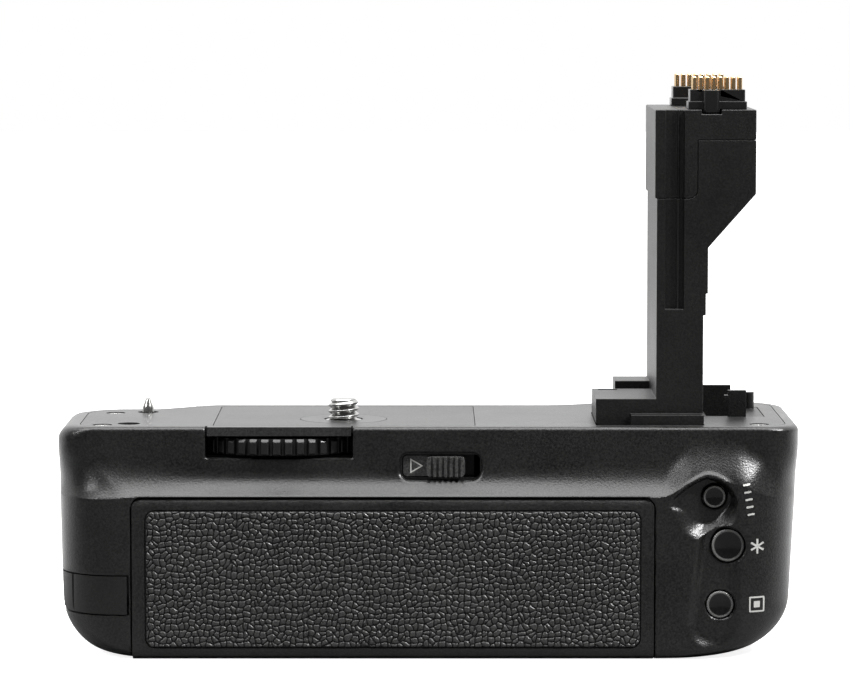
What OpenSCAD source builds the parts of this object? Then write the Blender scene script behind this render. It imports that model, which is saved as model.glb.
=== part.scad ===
// Camera battery grip: moulded housing, attachment drive, battery magazine, contact tower and controls.
// Millimetres. +X is the photographer's right, +Y runs from the rear to the lens side, +Z is up.
// The origin is under the middle of the housing, on the surface it stands on.

/* [Housing] */
// width of the housing
body_w = 150; // [146:1:156]
// depth of the finger bulge in front of the magazine
front_gap = 5.5; // [5:0.25:8]
// height of the housing from the top of the magazine door up to the camera seat
upper_h = 14; // [13:0.25:16]
// thickness of the moulded walls
wall = 2.2; // [2:0.1:2.4]
// how far the upper rear face stands back from the magazine door
shelf_in = 4; // [3.5:0.25:4.5]
// depth of the thumb pocket
pocket_in = 2.8; // [1.8:0.1:3]
// width of the rim around the top plate
rim_w = 1.3; // [1.1:0.1:1.6]
// thickness of the top plate
plate_t = 1.4; // [1.2:0.1:1.6]
// depth of the finger bulge's lower edge rounding
bulge_r = 8; // [6:0.5:9]

/* [Attachment drive] */
// distance of the attachment screw from the left end
screw_left = 57.6; // [56:0.2:59]
// how far the attachment screw stands in front of the rear edge of the seat
screw_in = 17; // [16:0.5:18]
// diameter of the attachment screw
screw_d = 6.2; // [6:0.1:6.35]
// height of the attachment screw above the seat
screw_up = 4.2; // [4:0.1:5.5]
// outside radius of the thumbwheel
wheel_r = 21; // [20.5:0.1:22]
// thickness of the thumbwheel
wheel_t = 3.3; // [3:0.1:3.4]
// ribs around the thumbwheel
wheel_ribs = 54; // [40:2:60]
// teeth inside the thumbwheel
ring_teeth = 48; // [48]
// teeth on the attachment screw
pinion_teeth = 12; // [12]
// size of the gear teeth
gear_module = 0.72; // [0.7:0.01:0.73]

/* [Magazine] */
// distance of the magazine door from the left end
door_left = 15.4; // [15:0.2:17]
// distance of the magazine door from the right end
door_right = 29.7; // [29:0.2:32]
// thickness of the magazine door
door_t = 3; // [2.6:0.1:3.2]
// width of one battery pack
pack_w = 38.4; // [36:0.4:39]
// length of one battery pack
pack_l = 56.8; // [54:0.4:57]
// height of one battery pack
pack_h = 21; // [20.6:0.1:21.2]

/* [Contact tower] */
// distance of the tower's left side from the right end
tower_in = 28.8; // [28:0.1:29.5]
// thickness of the tower's column
tower_w = 9.5; // [9:0.1:10]
// width of the tower's head
head_w = 20; // [19:0.2:21]
// depth of the tower from rear to front
tower_d = 37; // [34:0.5:37]
// height of the tower above the seat, without its plugs
tower_h = 63.6; // [60:0.2:66]
// height of the contact pins above their plugs
pin_up = 2.7; // [2:0.1:3]

/* [Controls] */
// distance of the upper thumb button from the right end
button_in = 17.5; // [17:0.1:18]
// travel of the thumb buttons
button_travel = 0.8; // [0.5:0.1:0.8]
// travel of the shutter button
shutter_travel = 1.2; // [0.8:0.1:1.2]
// travel of the release slider
slider_travel = 2.4; // [1.5:0.1:2.4]
// radius of the control dial
dial_r = 8; // [7.5:0.1:8.2]

/* [Hidden] */
$fn = 64;
// gap between moulded pieces that meet
seam = 0.15;
// gap around moving pieces
play = 0.2;
// running clearance of shafts
run = 0.05;
// depth by which one shape is sunk into the next it joins
sink = 0.6;
// leatherette stands this far out of the door frame
skin_proud = 0.3;
skin_t = 0.9;
// end wall of the magazine tray
tray_wall = 1.8;
body_d = skin_proud + door_t + 3 * play + pack_l + tray_wall + front_gap;
rear_plane = -body_d / 2 + skin_proud;
front_plane = body_d / 2;
shelf_plane = rear_plane + shelf_in;
door_h = pack_h + 11.7;
body_h = door_h + upper_h;
shelf_z = door_h + 0.3;
floor_t = wall;
split_y = front_plane - 32;
under_z = body_h - plate_t;
half_w = body_w / 2;
door_w = body_w - door_left - door_right;
mag_x = (door_left - door_right) / 2;
tower_x = half_w - tower_in;
button_x = half_w - button_in;
// edge roundings of the housing
left_foot = [11.5, 12];
right_foot = [14.4, 11.5];
left_shoulder = 3;
right_shoulder = 1.2;
rear_foot_r = 2.5;
rim_r = 1;
// how far each end leans in from the seat to the floor
left_draft = 0.85;
right_draft = 2.2;
// what stands on the seat
screw_x = -half_w + screw_left;
screw_y = shelf_plane + screw_in;
pin_at = [-half_w + 16.6, screw_y + 13.6];
tower_y = shelf_plane + 7.6;
tower_y1 = tower_y + tower_d;
// front edge of the seat at the left, in the middle and at the right
seat_left = pin_at[1] + 7.1;
seat_mid = screw_y + 29.3;
seat_right = tower_y1 + 9.1;
bulge_z = door_h - 1;
// attachment drive, from the seat down
gear_gap = (ring_teeth - pinion_teeth) * gear_module / 2;
wheel_top = body_h - 2.4;
wheel_y = shelf_plane - 1.5 + wheel_r;
wheel_x = screw_x - sqrt(gear_gap * gear_gap - (screw_y - wheel_y) * (screw_y - wheel_y));
mesh_angle = atan2(screw_y - wheel_y, screw_x - wheel_x);
wheel_z = wheel_top - wheel_t;
tooth_z = wheel_top - 1.6;
frame_top = wheel_z - 0.4;
frame_t = 2;
boss_r = ring_teeth * gear_module / 2 - 1;
pinion_r = pinion_teeth * gear_module / 2;
wheel_slot_l = wheel_x - 14.9;
wheel_slot_r = wheel_x + 14.9;
frame_posts = [[screw_x - 36.6, shelf_plane + 7.4], [screw_x + 11.1, shelf_plane + 9.1],
    [screw_x - 36.6, shelf_plane + 33.2], [screw_x + 12.4, shelf_plane + 33.7]];
// magazine, from the rear to the front and from the floor up
door_in = rear_plane + door_t;
tray_z = 7.2;
tray_t = 1.2;
pack_z = tray_z + tray_t + play;
pack_y = door_in + play;
tray_end = pack_y + pack_l + 2 * play + tray_wall;
tray_half = door_w / 2 - 0.6;
mouth_half = door_w / 2 + play;
divider = 2.4;
pack_x = divider / 2 + play;
latch_z = body_h - 7.9;
// contact tower
tower_top = body_h + tower_h;
head_z = tower_top - 17;
plug_x = tower_x + 12.3;
// right end controls
dial_y = front_plane - 21.5;
dial_z = 21;
dial_x = right_wall(dial_z) - dial_r;
dial_wide = 7;
// each thumb button: its place, its radius and how far it stands out
button_rows = [[button_x, 32.9, 2.3, 1.1], [button_x + 2.7, 23.1, 3.35, 0.9],
    [button_x + 1.2, 11.1, 2.8, 0.9]];
board_y = rear_plane + 3 + wall + 2.5;
shutter_z = 21;
shutter_at = [right_wall(shutter_z) - 17.6, front_plane - 18, shutter_z];
shutter_rest = 11.5;
power_y = front_plane - 46;
power_z = 20;
power_x = right_wall(power_z) + 0.4;
strap_y = front_plane - 23;
strap_x = half_w - 7.4;
strap_z = 4.6;
strap_r = 1.2;
cover_z = 13.1;
cover_y = rear_plane + 13.5;
// the cover's hinge line lies this far under the surface
cover_in = 0.65;
cover_r = 0.55;
cover_x = -half_w + end_in(cover_z, left_draft) + cover_in;

// what is built; "all" shows the whole grip

shell_grey = [0.16, 0.16, 0.17];
plate_grey = [0.22, 0.22, 0.23];
skin_black = [0.1, 0.1, 0.1];
metal = [0.7, 0.7, 0.68];
brass = [0.8, 0.66, 0.35];

// a step from 0 to 1 with soft ends
function ease(t) = let (c = min(1, max(0, t))) c * c * (3 - 2 * c);
// how far a rounded edge stands back at a height above its foot
function round_in(r, h) = h >= r ? 0 : r - sqrt(max(0, r * r - (r - h) * (r - h)));
function oval_in(rx, rz, h) = h >= rz ? 0 : rx - rx * sqrt(max(0, 1 - pow((rz - h) / rz, 2)));
// distance of a point from a line between two points
function along(p, a, b) = min(1, max(0, ((p - a) * (b - a)) / ((b - a) * (b - a))));
function off_line(p, a, b) = norm(p - a - along(p, a, b) * (b - a));
function bowl(t) = 1 - ease((t - 0.55) / 0.45);

// the thumb pocket: a groove for the lower buttons, a dish for the upper one and a tail to its left
groove_low = [button_x + 0.4, 6.9];
groove_high = [button_x + 1.6, 23.7];
dish_at = [button_x - 0.2, 31.7];
tail_at = [button_x - 10.5, 30.7];
function pocket(x, z) =
    max(0.75 * bowl(off_line([x, z], groove_low, groove_high) / 5.6),
        bowl(norm([x, z] - dish_at) / 7),
        (0.62 - 0.5 * along([x, z], dish_at, tail_at)) * (1 - ease((dish_at[1] - z) / 6))
            * bowl(off_line([x, z], dish_at, tail_at) / (6 - 3.5 * along([x, z], dish_at, tail_at))));

// the rear face: the upper part stands back behind a slope above the door, and the thumb pocket or a
// flat pad behind it dips in further
function shelf_end(x) = shelf_z + 6.5 + 1.5 * ease((x - 5) / 40) + 0.5 * ease((-25 - x) / 30);
function shelf(x, z) =
    shelf_in * (1 - pow(1 - min(1, max(0, (z - shelf_z) / (shelf_end(x) - shelf_z))), 2));
function rear_base(x, z) =
    rear_plane + shelf(x, z) + round_in(rear_foot_r, z) + round_in(rim_r, body_h - z);
function dip(x, z, flat) =
    max(0, pocket_in * (flat ? ease((x - button_x + 9.5) / 5) : pocket(x, z)) - shelf(x, z));
function rear_y(x, z, flat) = rear_base(x, z) + dip(x, z, flat);

// the front face: finger bulge below, stepping back to the front edge of the seat
function bulge(z) = 1 - ease((z - bulge_z) / (body_h - 1 - bulge_z));
function seat_front(x) =
    seat_left + (seat_mid - seat_left) * ease((x + half_w - 17) / 14)
    + (seat_right - seat_mid) * ease((x - half_w + 50) / 20);
function front_y(x, z) =
    seat_front(x) + (front_plane - seat_front(x)) * bulge(z)
    - round_in(bulge_r, z) - round_in(rim_r, body_h - z);

// the ends, and the corner roundings seen from above
function end_in(z, draft) = draft * max(0, (body_h - 6 - z) / (body_h - 6));
function right_wall(z) = half_w - end_in(z, right_draft);
function left_x(z) = -half_w + end_in(z, left_draft) + oval_in(left_foot[0], left_foot[1], z)
    + round_in(left_shoulder, body_h - z);
function right_x(z) = right_wall(z) - oval_in(right_foot[0], right_foot[1], z)
    - round_in(right_shoulder, body_h - z);
function low_share(z) = 1 - ease((z - shelf_z) / 10);
function corner_rl(z) = 6 + 6 * low_share(z);
function corner_rr(z) = 7 + 6 * low_share(z);
function corner_fl(z) = 9 + 5 * bulge(z);
function corner_fr(z) = 10 + 8 * bulge(z);

// one level of the housing, anticlockwise from the left end: rear face first, then the front face back
function arc(c, r, a0, a1, k, first, last) =
    [for (j = [first : last]) c + r * [cos(a0 + (a1 - a0) * j / k), sin(a0 + (a1 - a0) * j / k)]];
function rear_chain(z, d, st, k, flat) =
    let (x0 = left_x(z) + corner_rl(z), x1 = right_x(z) - corner_rr(z),
         r0 = max(1, corner_rl(z) - d), r1 = max(1, corner_rr(z) - d),
         y0 = rear_y(x0, z, flat) + d, y1 = rear_base(x1, z) + (flat ? dip(x1, z, true) : 0) + d)
    concat(arc([x0, y0 + r0], r0, 180, 270, k, 0, k - 1),
        [for (s = st) let (x = x0 + (x1 - x0) * s) [x, rear_y(x, z, flat) + d]],
        [for (p = arc([x1, y1 + r1], r1, 270, 360, k, 1, k)) p + [0, flat ? 0 : dip(p[0], z, false)]]);
function front_chain(z, d, st, k) =
    let (x0 = left_x(z) + corner_fl(z), x1 = right_x(z) - corner_fr(z),
         r0 = max(1, corner_fl(z) - d), r1 = max(1, corner_fr(z) - d),
         y0 = front_y(x0, z) - d, y1 = front_y(x1, z) - d)
    concat(arc([x1, y1 - r1], r1, 0, 90, k, 0, k - 1),
        [for (i = [len(st) - 1 : -1 : 0]) let (x = x0 + (x1 - x0) * st[i]) [x, front_y(x, z) - d]],
        arc([x0, y0 - r0], r0, 90, 180, k, 1, k));
function level(z, d, st, k, flat) = concat(rear_chain(z, d, st, k, flat), front_chain(z, d, st, k));

// the housing as one lofted solid, standing back by d from its outside
fine_st = concat([for (i = [0 : 10]) 0.82 * i / 11], [for (i = [0 : 14]) 0.82 + 0.18 * i / 14]);
plain_st = [for (i = [0 : 12]) i / 12];
low_steps = [0, 0.012, 0.035, 0.08, 0.15, 0.22, 0.32, 0.45, 0.58, 0.67, 0.76, 0.83, 0.89, 0.95, 1];
high_steps = [0.09, 0.18, 0.27, 0.36, 0.47, 0.6, 0.71, 0.8, 0.88, 0.93, 0.97, 1];
fine_levels = concat([for (s = low_steps) s * shelf_z],
    [for (s = high_steps) shelf_z + s * (body_h - shelf_z)]);
module loft(d, levels, st, k, flat) {
    rings = [for (z = levels) level(z, d, st, k, flat)];
    n = len(rings[0]);
    m = len(levels);
    points = [for (j = [0 : m - 1]) for (p = rings[j]) [p[0], p[1], levels[j]]];
    sides = [for (j = [0 : m - 2]) for (i = [0 : n - 1])
        let (a = j * n + i, b = j * n + (i + 1) % n)
        each [[a, a + n, b + n], [a, b + n, b]]];
    caps = [for (i = [0 : n / 2 - 2])
        let (a = i, b = i + 1, c = n - 2 - i, e = n - 1 - i, t = (m - 1) * n)
        each [[a, b, c], [a, c, e], [t + a, t + c, t + b], [t + a, t + e, t + c]]];
    polyhedron(points, concat(sides, caps));
}
module outside() {
    loft(0, fine_levels, fine_st, 6, false);
}
function plain_levels(z0) = concat([z0],
    [for (z = [2, 4, 7, 11, 18, 25, bulge_z, shelf_z]) if (z > z0 + 0.5) z],
    [for (s = [0.09, 0.27, 0.47, 0.7]) shelf_z + s * (under_z - shelf_z)], [under_z - seam]);
module inside() {
    loft(wall, plain_levels(floor_t), plain_st, 4, true);
}
// keeps ribs, posts and pads from reaching the outside
module within_walls() {
    intersection() {
        union() {
            children();
        }
        loft(0.9, plain_levels(0.8), plain_st, 4, true);
    }
}
// the levels of the housing from z0 to z1
function band(z0, z1) = concat([z0], [for (z = fine_levels) if (z > z0 + 0.2 && z < z1 - 0.2) z], [z1]);
// stations for the left half of the rear face and for the front face, which are straight along X there
half_st = [0, 0.5, 1];
// the space outside the housing and down to t below its surface, within a box from a to b; a rounded
// corner has k faces
module surface_recess(t, a, b, k) {
    difference() {
        span(a, b);
        loft(t, band(a[2] - 1, b[2] + 1), half_st, k, true);
    }
}
// a layer of the housing's surface that is t thick, within a box from a to b
module surface_patch(t, a, b, k) {
    intersection() {
        surface_recess(t, a, b, k);
        loft(0, band(a[2] - 1, b[2] + 1), half_st, k, true);
    }
}

// a box between two corners
module span(a, b) {
    translate([min(a[0], b[0]), min(a[1], b[1]), min(a[2], b[2])])
        cube([abs(b[0] - a[0]), abs(b[1] - a[1]), abs(b[2] - a[2])]);
}
module round_rect(w, h, r) {
    square([w - 2 * r, h], center = true);
    square([w, h - 2 * r], center = true);
    for (x = [-1, 1]) {
        for (y = [-1, 1]) {
            translate([x * (w / 2 - r), y * (h / 2 - r)])
                circle(r);
        }
    }
}
// a rounded block that lies in the rear face, from y0 to y1
module rear_block(x0, x1, z0, z1, y0, y1, r) {
    translate([(x0 + x1) / 2, y1, (z0 + z1) / 2])
        rotate([90, 0, 0])
            linear_extrude(y1 - y0)
                round_rect(x1 - x0, z1 - z0, r);
}
// a rounded block that stands on the seat, from z0 to z1
module seat_block(x0, x1, y0, y1, z0, z1, r) {
    translate([(x0 + x1) / 2, (y0 + y1) / 2, z0])
        linear_extrude(z1 - z0)
            round_rect(x1 - x0, y1 - y0, r);
}
module post(p, r, z0, z1) {
    translate([p[0], p[1], z0])
        cylinder(h = z1 - z0, r = r);
}
// a round bar along Y
module rod(x, z, r, y0, y1) {
    translate([x, y1, z])
        rotate([90, 0, 0])
            cylinder(h = y1 - y0, r = r);
}

// involute gear outline; r0 and r1 are its inner and outer radius, extra widens each tooth
gear_pressure = 25;
function inv(a) = tan(a) * 180 / PI - a;
function flank(r, rp, teeth, extra) =
    let (rb = rp * cos(gear_pressure), q = max(r, rb + 0.001))
    90 / teeth + extra / rp * 180 / PI + inv(gear_pressure) - inv(acos(rb / q));
function gear_points(teeth, r0, r1, extra) =
    let (rp = teeth * gear_module / 2, n = 4)
    [for (t = [0 : teeth - 1]) each concat(
        [for (i = [0 : n])
            let (r = r0 + (r1 - r0) * i / n, a = t * 360 / teeth - flank(r, rp, teeth, extra))
            r * [cos(a), sin(a)]],
        [for (i = [n : -1 : 0])
            let (r = r0 + (r1 - r0) * i / n, a = t * 360 / teeth + flank(r, rp, teeth, extra))
            r * [cos(a), sin(a)]])];

// outline of a ribbed wheel with n ribs; each groove starts at a share of the pitch and is deep mm deep
function ribbed(r, n, share, deep) =
    [for (i = [0 : n - 1]) for (c = [[-0.3, 0], [0.3, 0], [share, deep], [1 - share, deep]])
        (r - c[1]) * [cos((i + c[0]) * 360 / n), sin((i + c[0]) * 360 / n)]];

// places shared by the pieces that meet there
top_screw_at = [[-half_w + 9, shelf_plane + 5], [-half_w + 10, min(seat_left - 9, split_y - 3)],
    [half_w - 8, shelf_plane + 6], [half_w - 15, seat_right - 5.5]];
tongue_at = [mag_x - 36, mag_x + 36];
tongue_y = split_y - 4;
rails = [mag_x - 47, mag_x - 20, mag_x + 20, mag_x + 47];
well_x0 = tower_x + tower_w + 0.5;
well_x1 = half_w - 5.8;
well_y0 = tower_y + 13.6;
well_y1 = tower_y + 33;
foot_x0 = tower_x - 12.2;
foot_y1 = tower_y + 22;

// cuts that run through both shells
module shell_cuts() {
    inside();
    translate([0, 0, under_z - seam])
        linear_extrude(4)
            polygon(level(body_h, rim_w, fine_st, 6, false));
}
// walls that guide the magazine, and the rails under it
module bay_ribs(y0, y1) {
    for (side = [-1, 1]) {
        inner = mag_x + side * (mouth_half + 0.05);
        span([inner, y0, floor_t - sink], [inner + side * 1.2, y1, door_h - 1.5]);
    }
    for (x = rails) {
        span([x - 0.8, y0, floor_t - sink], [x + 0.8, y1, tray_z - 0.1]);
    }
}

module rear_shell() {
    color(shell_grey)
    difference() {
        union() {
            difference() {
                intersection() {
                    outside();
                    span([-100, -60, -1], [100, split_y - seam / 2, 80]);
                }
                shell_cuts();
            }
            within_walls() {
                bay_ribs(door_in + 0.4, split_y - seam / 2);
                post([screw_x, screw_y], 7, floor_t - sink, tray_z - 0.3);
                for (i = [0 : 2]) {
                    top_post(top_screw_at[i], [i == 2 ? half_w : -half_w, top_screw_at[i][1]]);
                }
                button_posts();
                span([power_x - 4.6, power_y - 7.5, power_z - 6.5], [half_w, power_y + 7, power_z + 7]);
                span([-half_w, cover_y - 2.4, cover_z - 5.2], [cover_x + 2.6, cover_y + 2.4, cover_z + 5.2]);
            }
        }
        rear_block(mag_x - mouth_half, mag_x + mouth_half, -6, door_h + play, -60, door_in + 0.2, 2.2);
        wheel_slot();
        slider_slot();
        for (b = button_rows) {
            rod(b[0], b[1], b[2] + play, -60, -20);
        }
        post([screw_x, screw_y], 5, -1, 5.1);
        for (i = [0 : 2]) {
            post(top_screw_at[i], 1.05, 36.5, body_h);
        }
        for (x = tongue_at) {
            post([x, tongue_y], 1.3, -1, 4);
            post([x, tongue_y], 2.7, -1, 1.1);
        }
        cover_seat();
        power_seat();
    }
}
// a post for a top plate screw, with a web to the wall
module top_post(p, w) {
    post(p, 2.4, 38, body_h);
    span([min(p[0], w[0]) - (p[0] == w[0] ? 1 : 0), min(p[1], w[1]) - (p[1] == w[1] ? 1 : 0), 38],
        [max(p[0], w[0]) + (p[0] == w[0] ? 1 : 0), max(p[1], w[1]) + (p[1] == w[1] ? 1 : 0), body_h]);
}
// window for the thumbwheel, open to the seat
module wheel_slot() {
    rear_block(wheel_slot_l, wheel_slot_r, wheel_z - 0.6, body_h + 8, -60, shelf_plane + 6, 0.4);
}
// the release slider's sunk field and the window through it
slot_x0 = -5.8;
knob_x0 = -0.4;
knob_x1 = 7.3;
slot_x1 = knob_x1 + slider_travel + 1;
module slider_slot() {
    rear_block(slot_x0, slot_x1, latch_z - 2.75, latch_z + 2.75, -60, shelf_plane + 0.8, 2);
    rear_block(slot_x0 + 0.5, slot_x1 - 0.3, latch_z - 2.3, latch_z + 2.3, -60, shelf_plane + 5, 1);
}
module button_posts() {
    for (p = [[button_x - 5, 27.7], [button_x - 5, 17.2], [button_x + 6.6, 34.2]]) {
        rod(p[0], p[1], 1.4, board_y - 4.5, board_y);
    }
}
module cover_seat() {
    surface_recess(1.25, [-90, -60, cover_z - 4], [mag_x - mouth_half - 0.7, cover_y, cover_z + 4], 6);
    post([cover_x, cover_y], cover_in + play, cover_z - 4, cover_z + 4);
    span([-90, cover_y - cover_in, cover_z - 4], [cover_x, cover_y + cover_in + play, cover_z + 4]);
    rod(-half_w + 10.2, cover_z, 2.6, -60, rear_plane + 6.7);
}
module power_seat() {
    translate([power_x - 1.8, power_y, power_z])
        rotate([90, 0, 90])
            linear_extrude(8)
                round_rect(7, 12, 1.5);
    span([power_x - 8, power_y - 1.1, power_z - 3.8], [half_w, power_y + 1.1, power_z + 3.8]);
}

module front_shell() {
    color(shell_grey)
    difference() {
        union() {
            difference() {
                intersection() {
                    outside();
                    span([-100, split_y + seam / 2, -1], [100, 60, 80]);
                }
                shell_cuts();
            }
            within_walls() {
                bay_ribs(split_y + seam / 2, tray_end - 3);
                top_post(top_screw_at[3], [top_screw_at[3][0], 40]);
                for (x = tongue_at) {
                    span([x - 5, split_y - 8, floor_t + 0.1], [x + 5, split_y + 8, tray_z - 0.6]);
                    span([x - 5, split_y + seam / 2, floor_t - sink], [x + 5, split_y + 8, tray_z - 1]);
                }
                toward_shutter(12.6)
                    cylinder(h = 4.2, r = 9);
                span([dial_x + 3, dial_y - 9.5, 11.6], [half_w, dial_y + 6.1, 31]);
                span([strap_x - 7.2, strap_y - 7.4, 0], [half_w, strap_y + 7.6, 11.8]);
            }
        }
        for (x = tongue_at) {
            post([x, tongue_y], 1.05, 0, 12);
        }
        post(top_screw_at[3], 1.05, 37, body_h);
        surface_recess(skin_t + 0.05, skin_from - [0.15, 0, 0.15], skin_to + [0.15, 0, 0.15], 2);
        toward_shutter(16.2)
            cylinder(h = 8, r = 7.5);
        toward_shutter(8)
            cylinder(h = 20, r = 5.4);
        dial_scoop();
        strap_recess();
    }
}
// a place on the rounded front corner, measured out from the corner's own middle
module toward_shutter(out) {
    translate(shutter_at)
        rotate([0, 90, 45])
            translate([0, 0, out])
                children();
}
module dial_scoop() {
    translate([dial_x + dial_r + 19.8, dial_y, dial_z])
        sphere(22);
    rod(dial_x, dial_z, dial_r + 0.4, dial_y - dial_wide / 2 - 0.4, dial_y + dial_wide / 2 + 0.4);
}
module strap_recess() {
    span([strap_x - 5.6, strap_y - 6, -2], [90, strap_y + 6, 10.2]);
    rod(strap_x, strap_z, strap_r, strap_y - 8, strap_y + 7.4);
}

skin_from = [-half_w + 23, 15, 5.5];
skin_to = [half_w - 27, 60, bulge_z - 1.5];
module front_skin() {
    color(skin_black)
    surface_patch(skin_t, skin_from, skin_to, 2);
}

module strap_bar() {
    color(metal)
    rod(strap_x, strap_z, strap_r, strap_y - 7.9, strap_y + 7.3);
}

module tripod_bush() {
    color(metal)
    translate([screw_x, screw_y, 0])
        difference() {
            cylinder(h = 5.1, r = 5);
            translate([0, 0, -1])
                cylinder(h = 9, r = 3.175);
        }
}

// a small screw with its head down
module screw_up_from(p, head_r, head_h, r, z0, z1) {
    post(p, head_r, z0, z0 + head_h);
    post(p, r, z0 + head_h - 0.1, z1);
}
module housing_screws() {
    color(metal)
    for (x = tongue_at) {
        difference() {
            screw_up_from([x, tongue_y], 2.4, 0.9, 1, 0.15, 5.4);
            post([x, tongue_y], 0.8, -1, 0.6);
        }
    }
}
module top_screws() {
    color(metal)
    for (p = top_screw_at) {
        difference() {
            union() {
                post(p, 1.8, body_h - 1, body_h - 0.15);
                post(p, 1, 38.5, body_h - 0.9);
            }
            post(p, 0.6, body_h - 0.6, body_h + 1);
        }
    }
}

module top_plate() {
    color(plate_grey)
    difference() {
        union() {
            translate([0, 0, under_z])
                linear_extrude(plate_t)
                    polygon(level(body_h, rim_w + seam, fine_st, 6, false));
            span([wheel_slot_l + 0.4, shelf_plane + 0.15, wheel_top + 0.6],
                [wheel_slot_r - 0.4, shelf_plane + 3, body_h]);
            for (p = frame_posts) {
                post(p, 2.5, frame_top, under_z + 0.4);
            }
            post(pin_at, 2.4, under_z - 3, under_z + 0.4);
        }
        pad_outline(0.1, body_h - 0.8, body_h + 1);
        post([screw_x, screw_y], 4, under_z - 1, body_h + 1);
        span([foot_x0 - seam, tower_y - 3.6, under_z - 1], [tower_x, foot_y1 + seam, body_h + 1]);
        span([tower_x - 1, tower_y - 3.6, under_z - 1],
            [tower_x + tower_w + seam, tower_y1 + seam, body_h + 1]);
        span([tower_x - 7.4, tower_y + 26, under_z - 1], [tower_x + 2, tower_y1 + seam, body_h + 1]);
        seat_block(well_x0 - 0.6, well_x1 + seam, well_y0 - seam, well_y1 + seam,
            under_z - 1, body_h + 1, 0.4);
        post(pin_at, 1.6, under_z - 6, body_h + 1);
        post(pin_at, 2.2, body_h - 0.35, body_h + 1);
        post([-60.8, shelf_plane + 7.4], 2.3, body_h - 0.5, body_h + 1);
        for (p = frame_posts) {
            post(p, 1.05, frame_top - 1, under_z - 0.5);
        }
        for (p = top_screw_at) {
            post(p, 1.3, under_z - 1, body_h + 1);
            post(p, 2, body_h - 1.05, body_h + 1);
        }
    }
}
pad_x0 = screw_x - 26.1;
pad_x1 = screw_x + 26.8;
module pad_outline(grow, z0, z1) {
    difference() {
        seat_block(pad_x0 - grow, pad_x1 + grow, shelf_plane + 2.6 - grow, seat_mid - 4.2 + grow, z0, z1, 1);
        post([screw_x, screw_y], 8.9 - grow, z0 - 1, z1 + 1);
    }
}
module seat_pad() {
    color(plate_grey)
    pad_outline(0, body_h - 0.8, body_h);
}

module drive_frame() {
    color(shell_grey)
    difference() {
        union() {
            translate([0, 0, frame_top - frame_t])
                linear_extrude(frame_t)
                    difference() {
                        translate([screw_x - 40.1, shelf_plane + 4.5])
                            square([55.5, 33]);
                        translate([screw_x + 13.4, shelf_plane + 3.7])
                            square([4, 3.4]);
                    }
            post([wheel_x, wheel_y], boss_r, frame_top - 0.1, tooth_z);
            for (p = board_stands) {
                post(p, 2, board_top, frame_top - frame_t + 0.1);
            }
        }
        post([screw_x, screw_y], screw_d / 2 + run, 20, 60);
        for (p = frame_posts) {
            post(p, 1.2, 20, 60);
        }
    }
}
board_top = frame_top - frame_t - 2.5;
board_stands = [[screw_x - 30.6, shelf_plane + 7.7], [screw_x + 6.4, shelf_plane + 8.7],
    [screw_x - 30.6, shelf_plane + 33.7], [screw_x + 6.4, shelf_plane + 34.7]];
module frame_screws() {
    color(metal)
    for (p = frame_posts) {
        screw_up_from(p, 2, 1.2, 1, frame_top - frame_t - 1.2, frame_top + 3.6);
    }
}

module thumbwheel() {
    color(skin_black)
    translate([wheel_x, wheel_y, wheel_z])
        rotate([0, 0, mesh_angle])
            difference() {
                linear_extrude(wheel_t)
                    polygon(ribbed(wheel_r, wheel_ribs, 0.36, 0.9));
                translate([0, 0, -1])
                    cylinder(h = 9, r = boss_r + run);
                translate([0, 0, tooth_z - wheel_z])
                    linear_extrude(5)
                        polygon(gear_points(ring_teeth, ring_teeth * gear_module / 2 - 0.4,
                            ring_teeth * gear_module / 2 + 0.75, 0.07));
            }
}
module attachment_screw() {
    color(metal)
    translate([screw_x, screw_y, 0])
        difference() {
            union() {
                translate([0, 0, frame_top - frame_t - 2.2])
                    cylinder(h = body_h + screw_up - 0.6 - (frame_top - frame_t - 2.2), r = screw_d / 2);
                translate([0, 0, body_h + screw_up - 0.6])
                    cylinder(h = 0.6, r1 = screw_d / 2, r2 = screw_d / 2 - 0.6);
                translate([0, 0, tooth_z + 0.1])
                    rotate([0, 0, mesh_angle])
                        linear_extrude(1.4)
                            polygon(gear_points(pinion_teeth, pinion_r - 0.6, pinion_r + 0.5, -0.05));
                translate([0, 0, wheel_top + 0.15])
                    cylinder(h = under_z - wheel_top - 0.25, r = 5.5);
                translate([0, 0, under_z - 0.2])
                    cylinder(h = plate_t + 0.1, r = screw_d / 2 + 0.6);
            }
            translate([0, 0, frame_top - frame_t - 1])
                difference() {
                    cylinder(h = 0.8, r = 9);
                    translate([0, 0, -1])
                        cylinder(h = 3, r = 2.5);
                }
        }
}
module screw_clip() {
    color(metal)
    translate([screw_x, screw_y, frame_top - frame_t - 0.95])
        difference() {
            cylinder(h = 0.7, r = 4.6);
            translate([0, 0, -1])
                cylinder(h = 3, r = 2.5);
            translate([0, -1.6, -1])
                cube([9, 3.2, 3]);
        }
}

module locating_pin() {
    color(metal)
    translate([pin_at[0], pin_at[1], 0]) {
        translate([0, 0, under_z - 2.6])
            cylinder(h = 2.6 + plate_t - 0.35, r = 1.6);
        translate([0, 0, body_h - 0.4])
            cylinder(h = 1.3, r = 1.25);
        translate([0, 0, body_h + 0.9])
            cylinder(h = 2.1, r1 = 1.25, r2 = 0.4);
    }
}

// the tower is drawn from the rear and runs through from rear to front
module tower_prism() {
    translate([0, tower_y1, 0])
        rotate([90, 0, 0])
            linear_extrude(tower_d)
                children();
}
// the cap takes the head's upper left and its top; its lower corner is round
cap_z = tower_top - 18;
cap_step = tower_top - 6.1;
cap_corner = [tower_x + 6.4, cap_z + 1.9];
cap_gap = 0.1;
cap_proud = 0.4;
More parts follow.
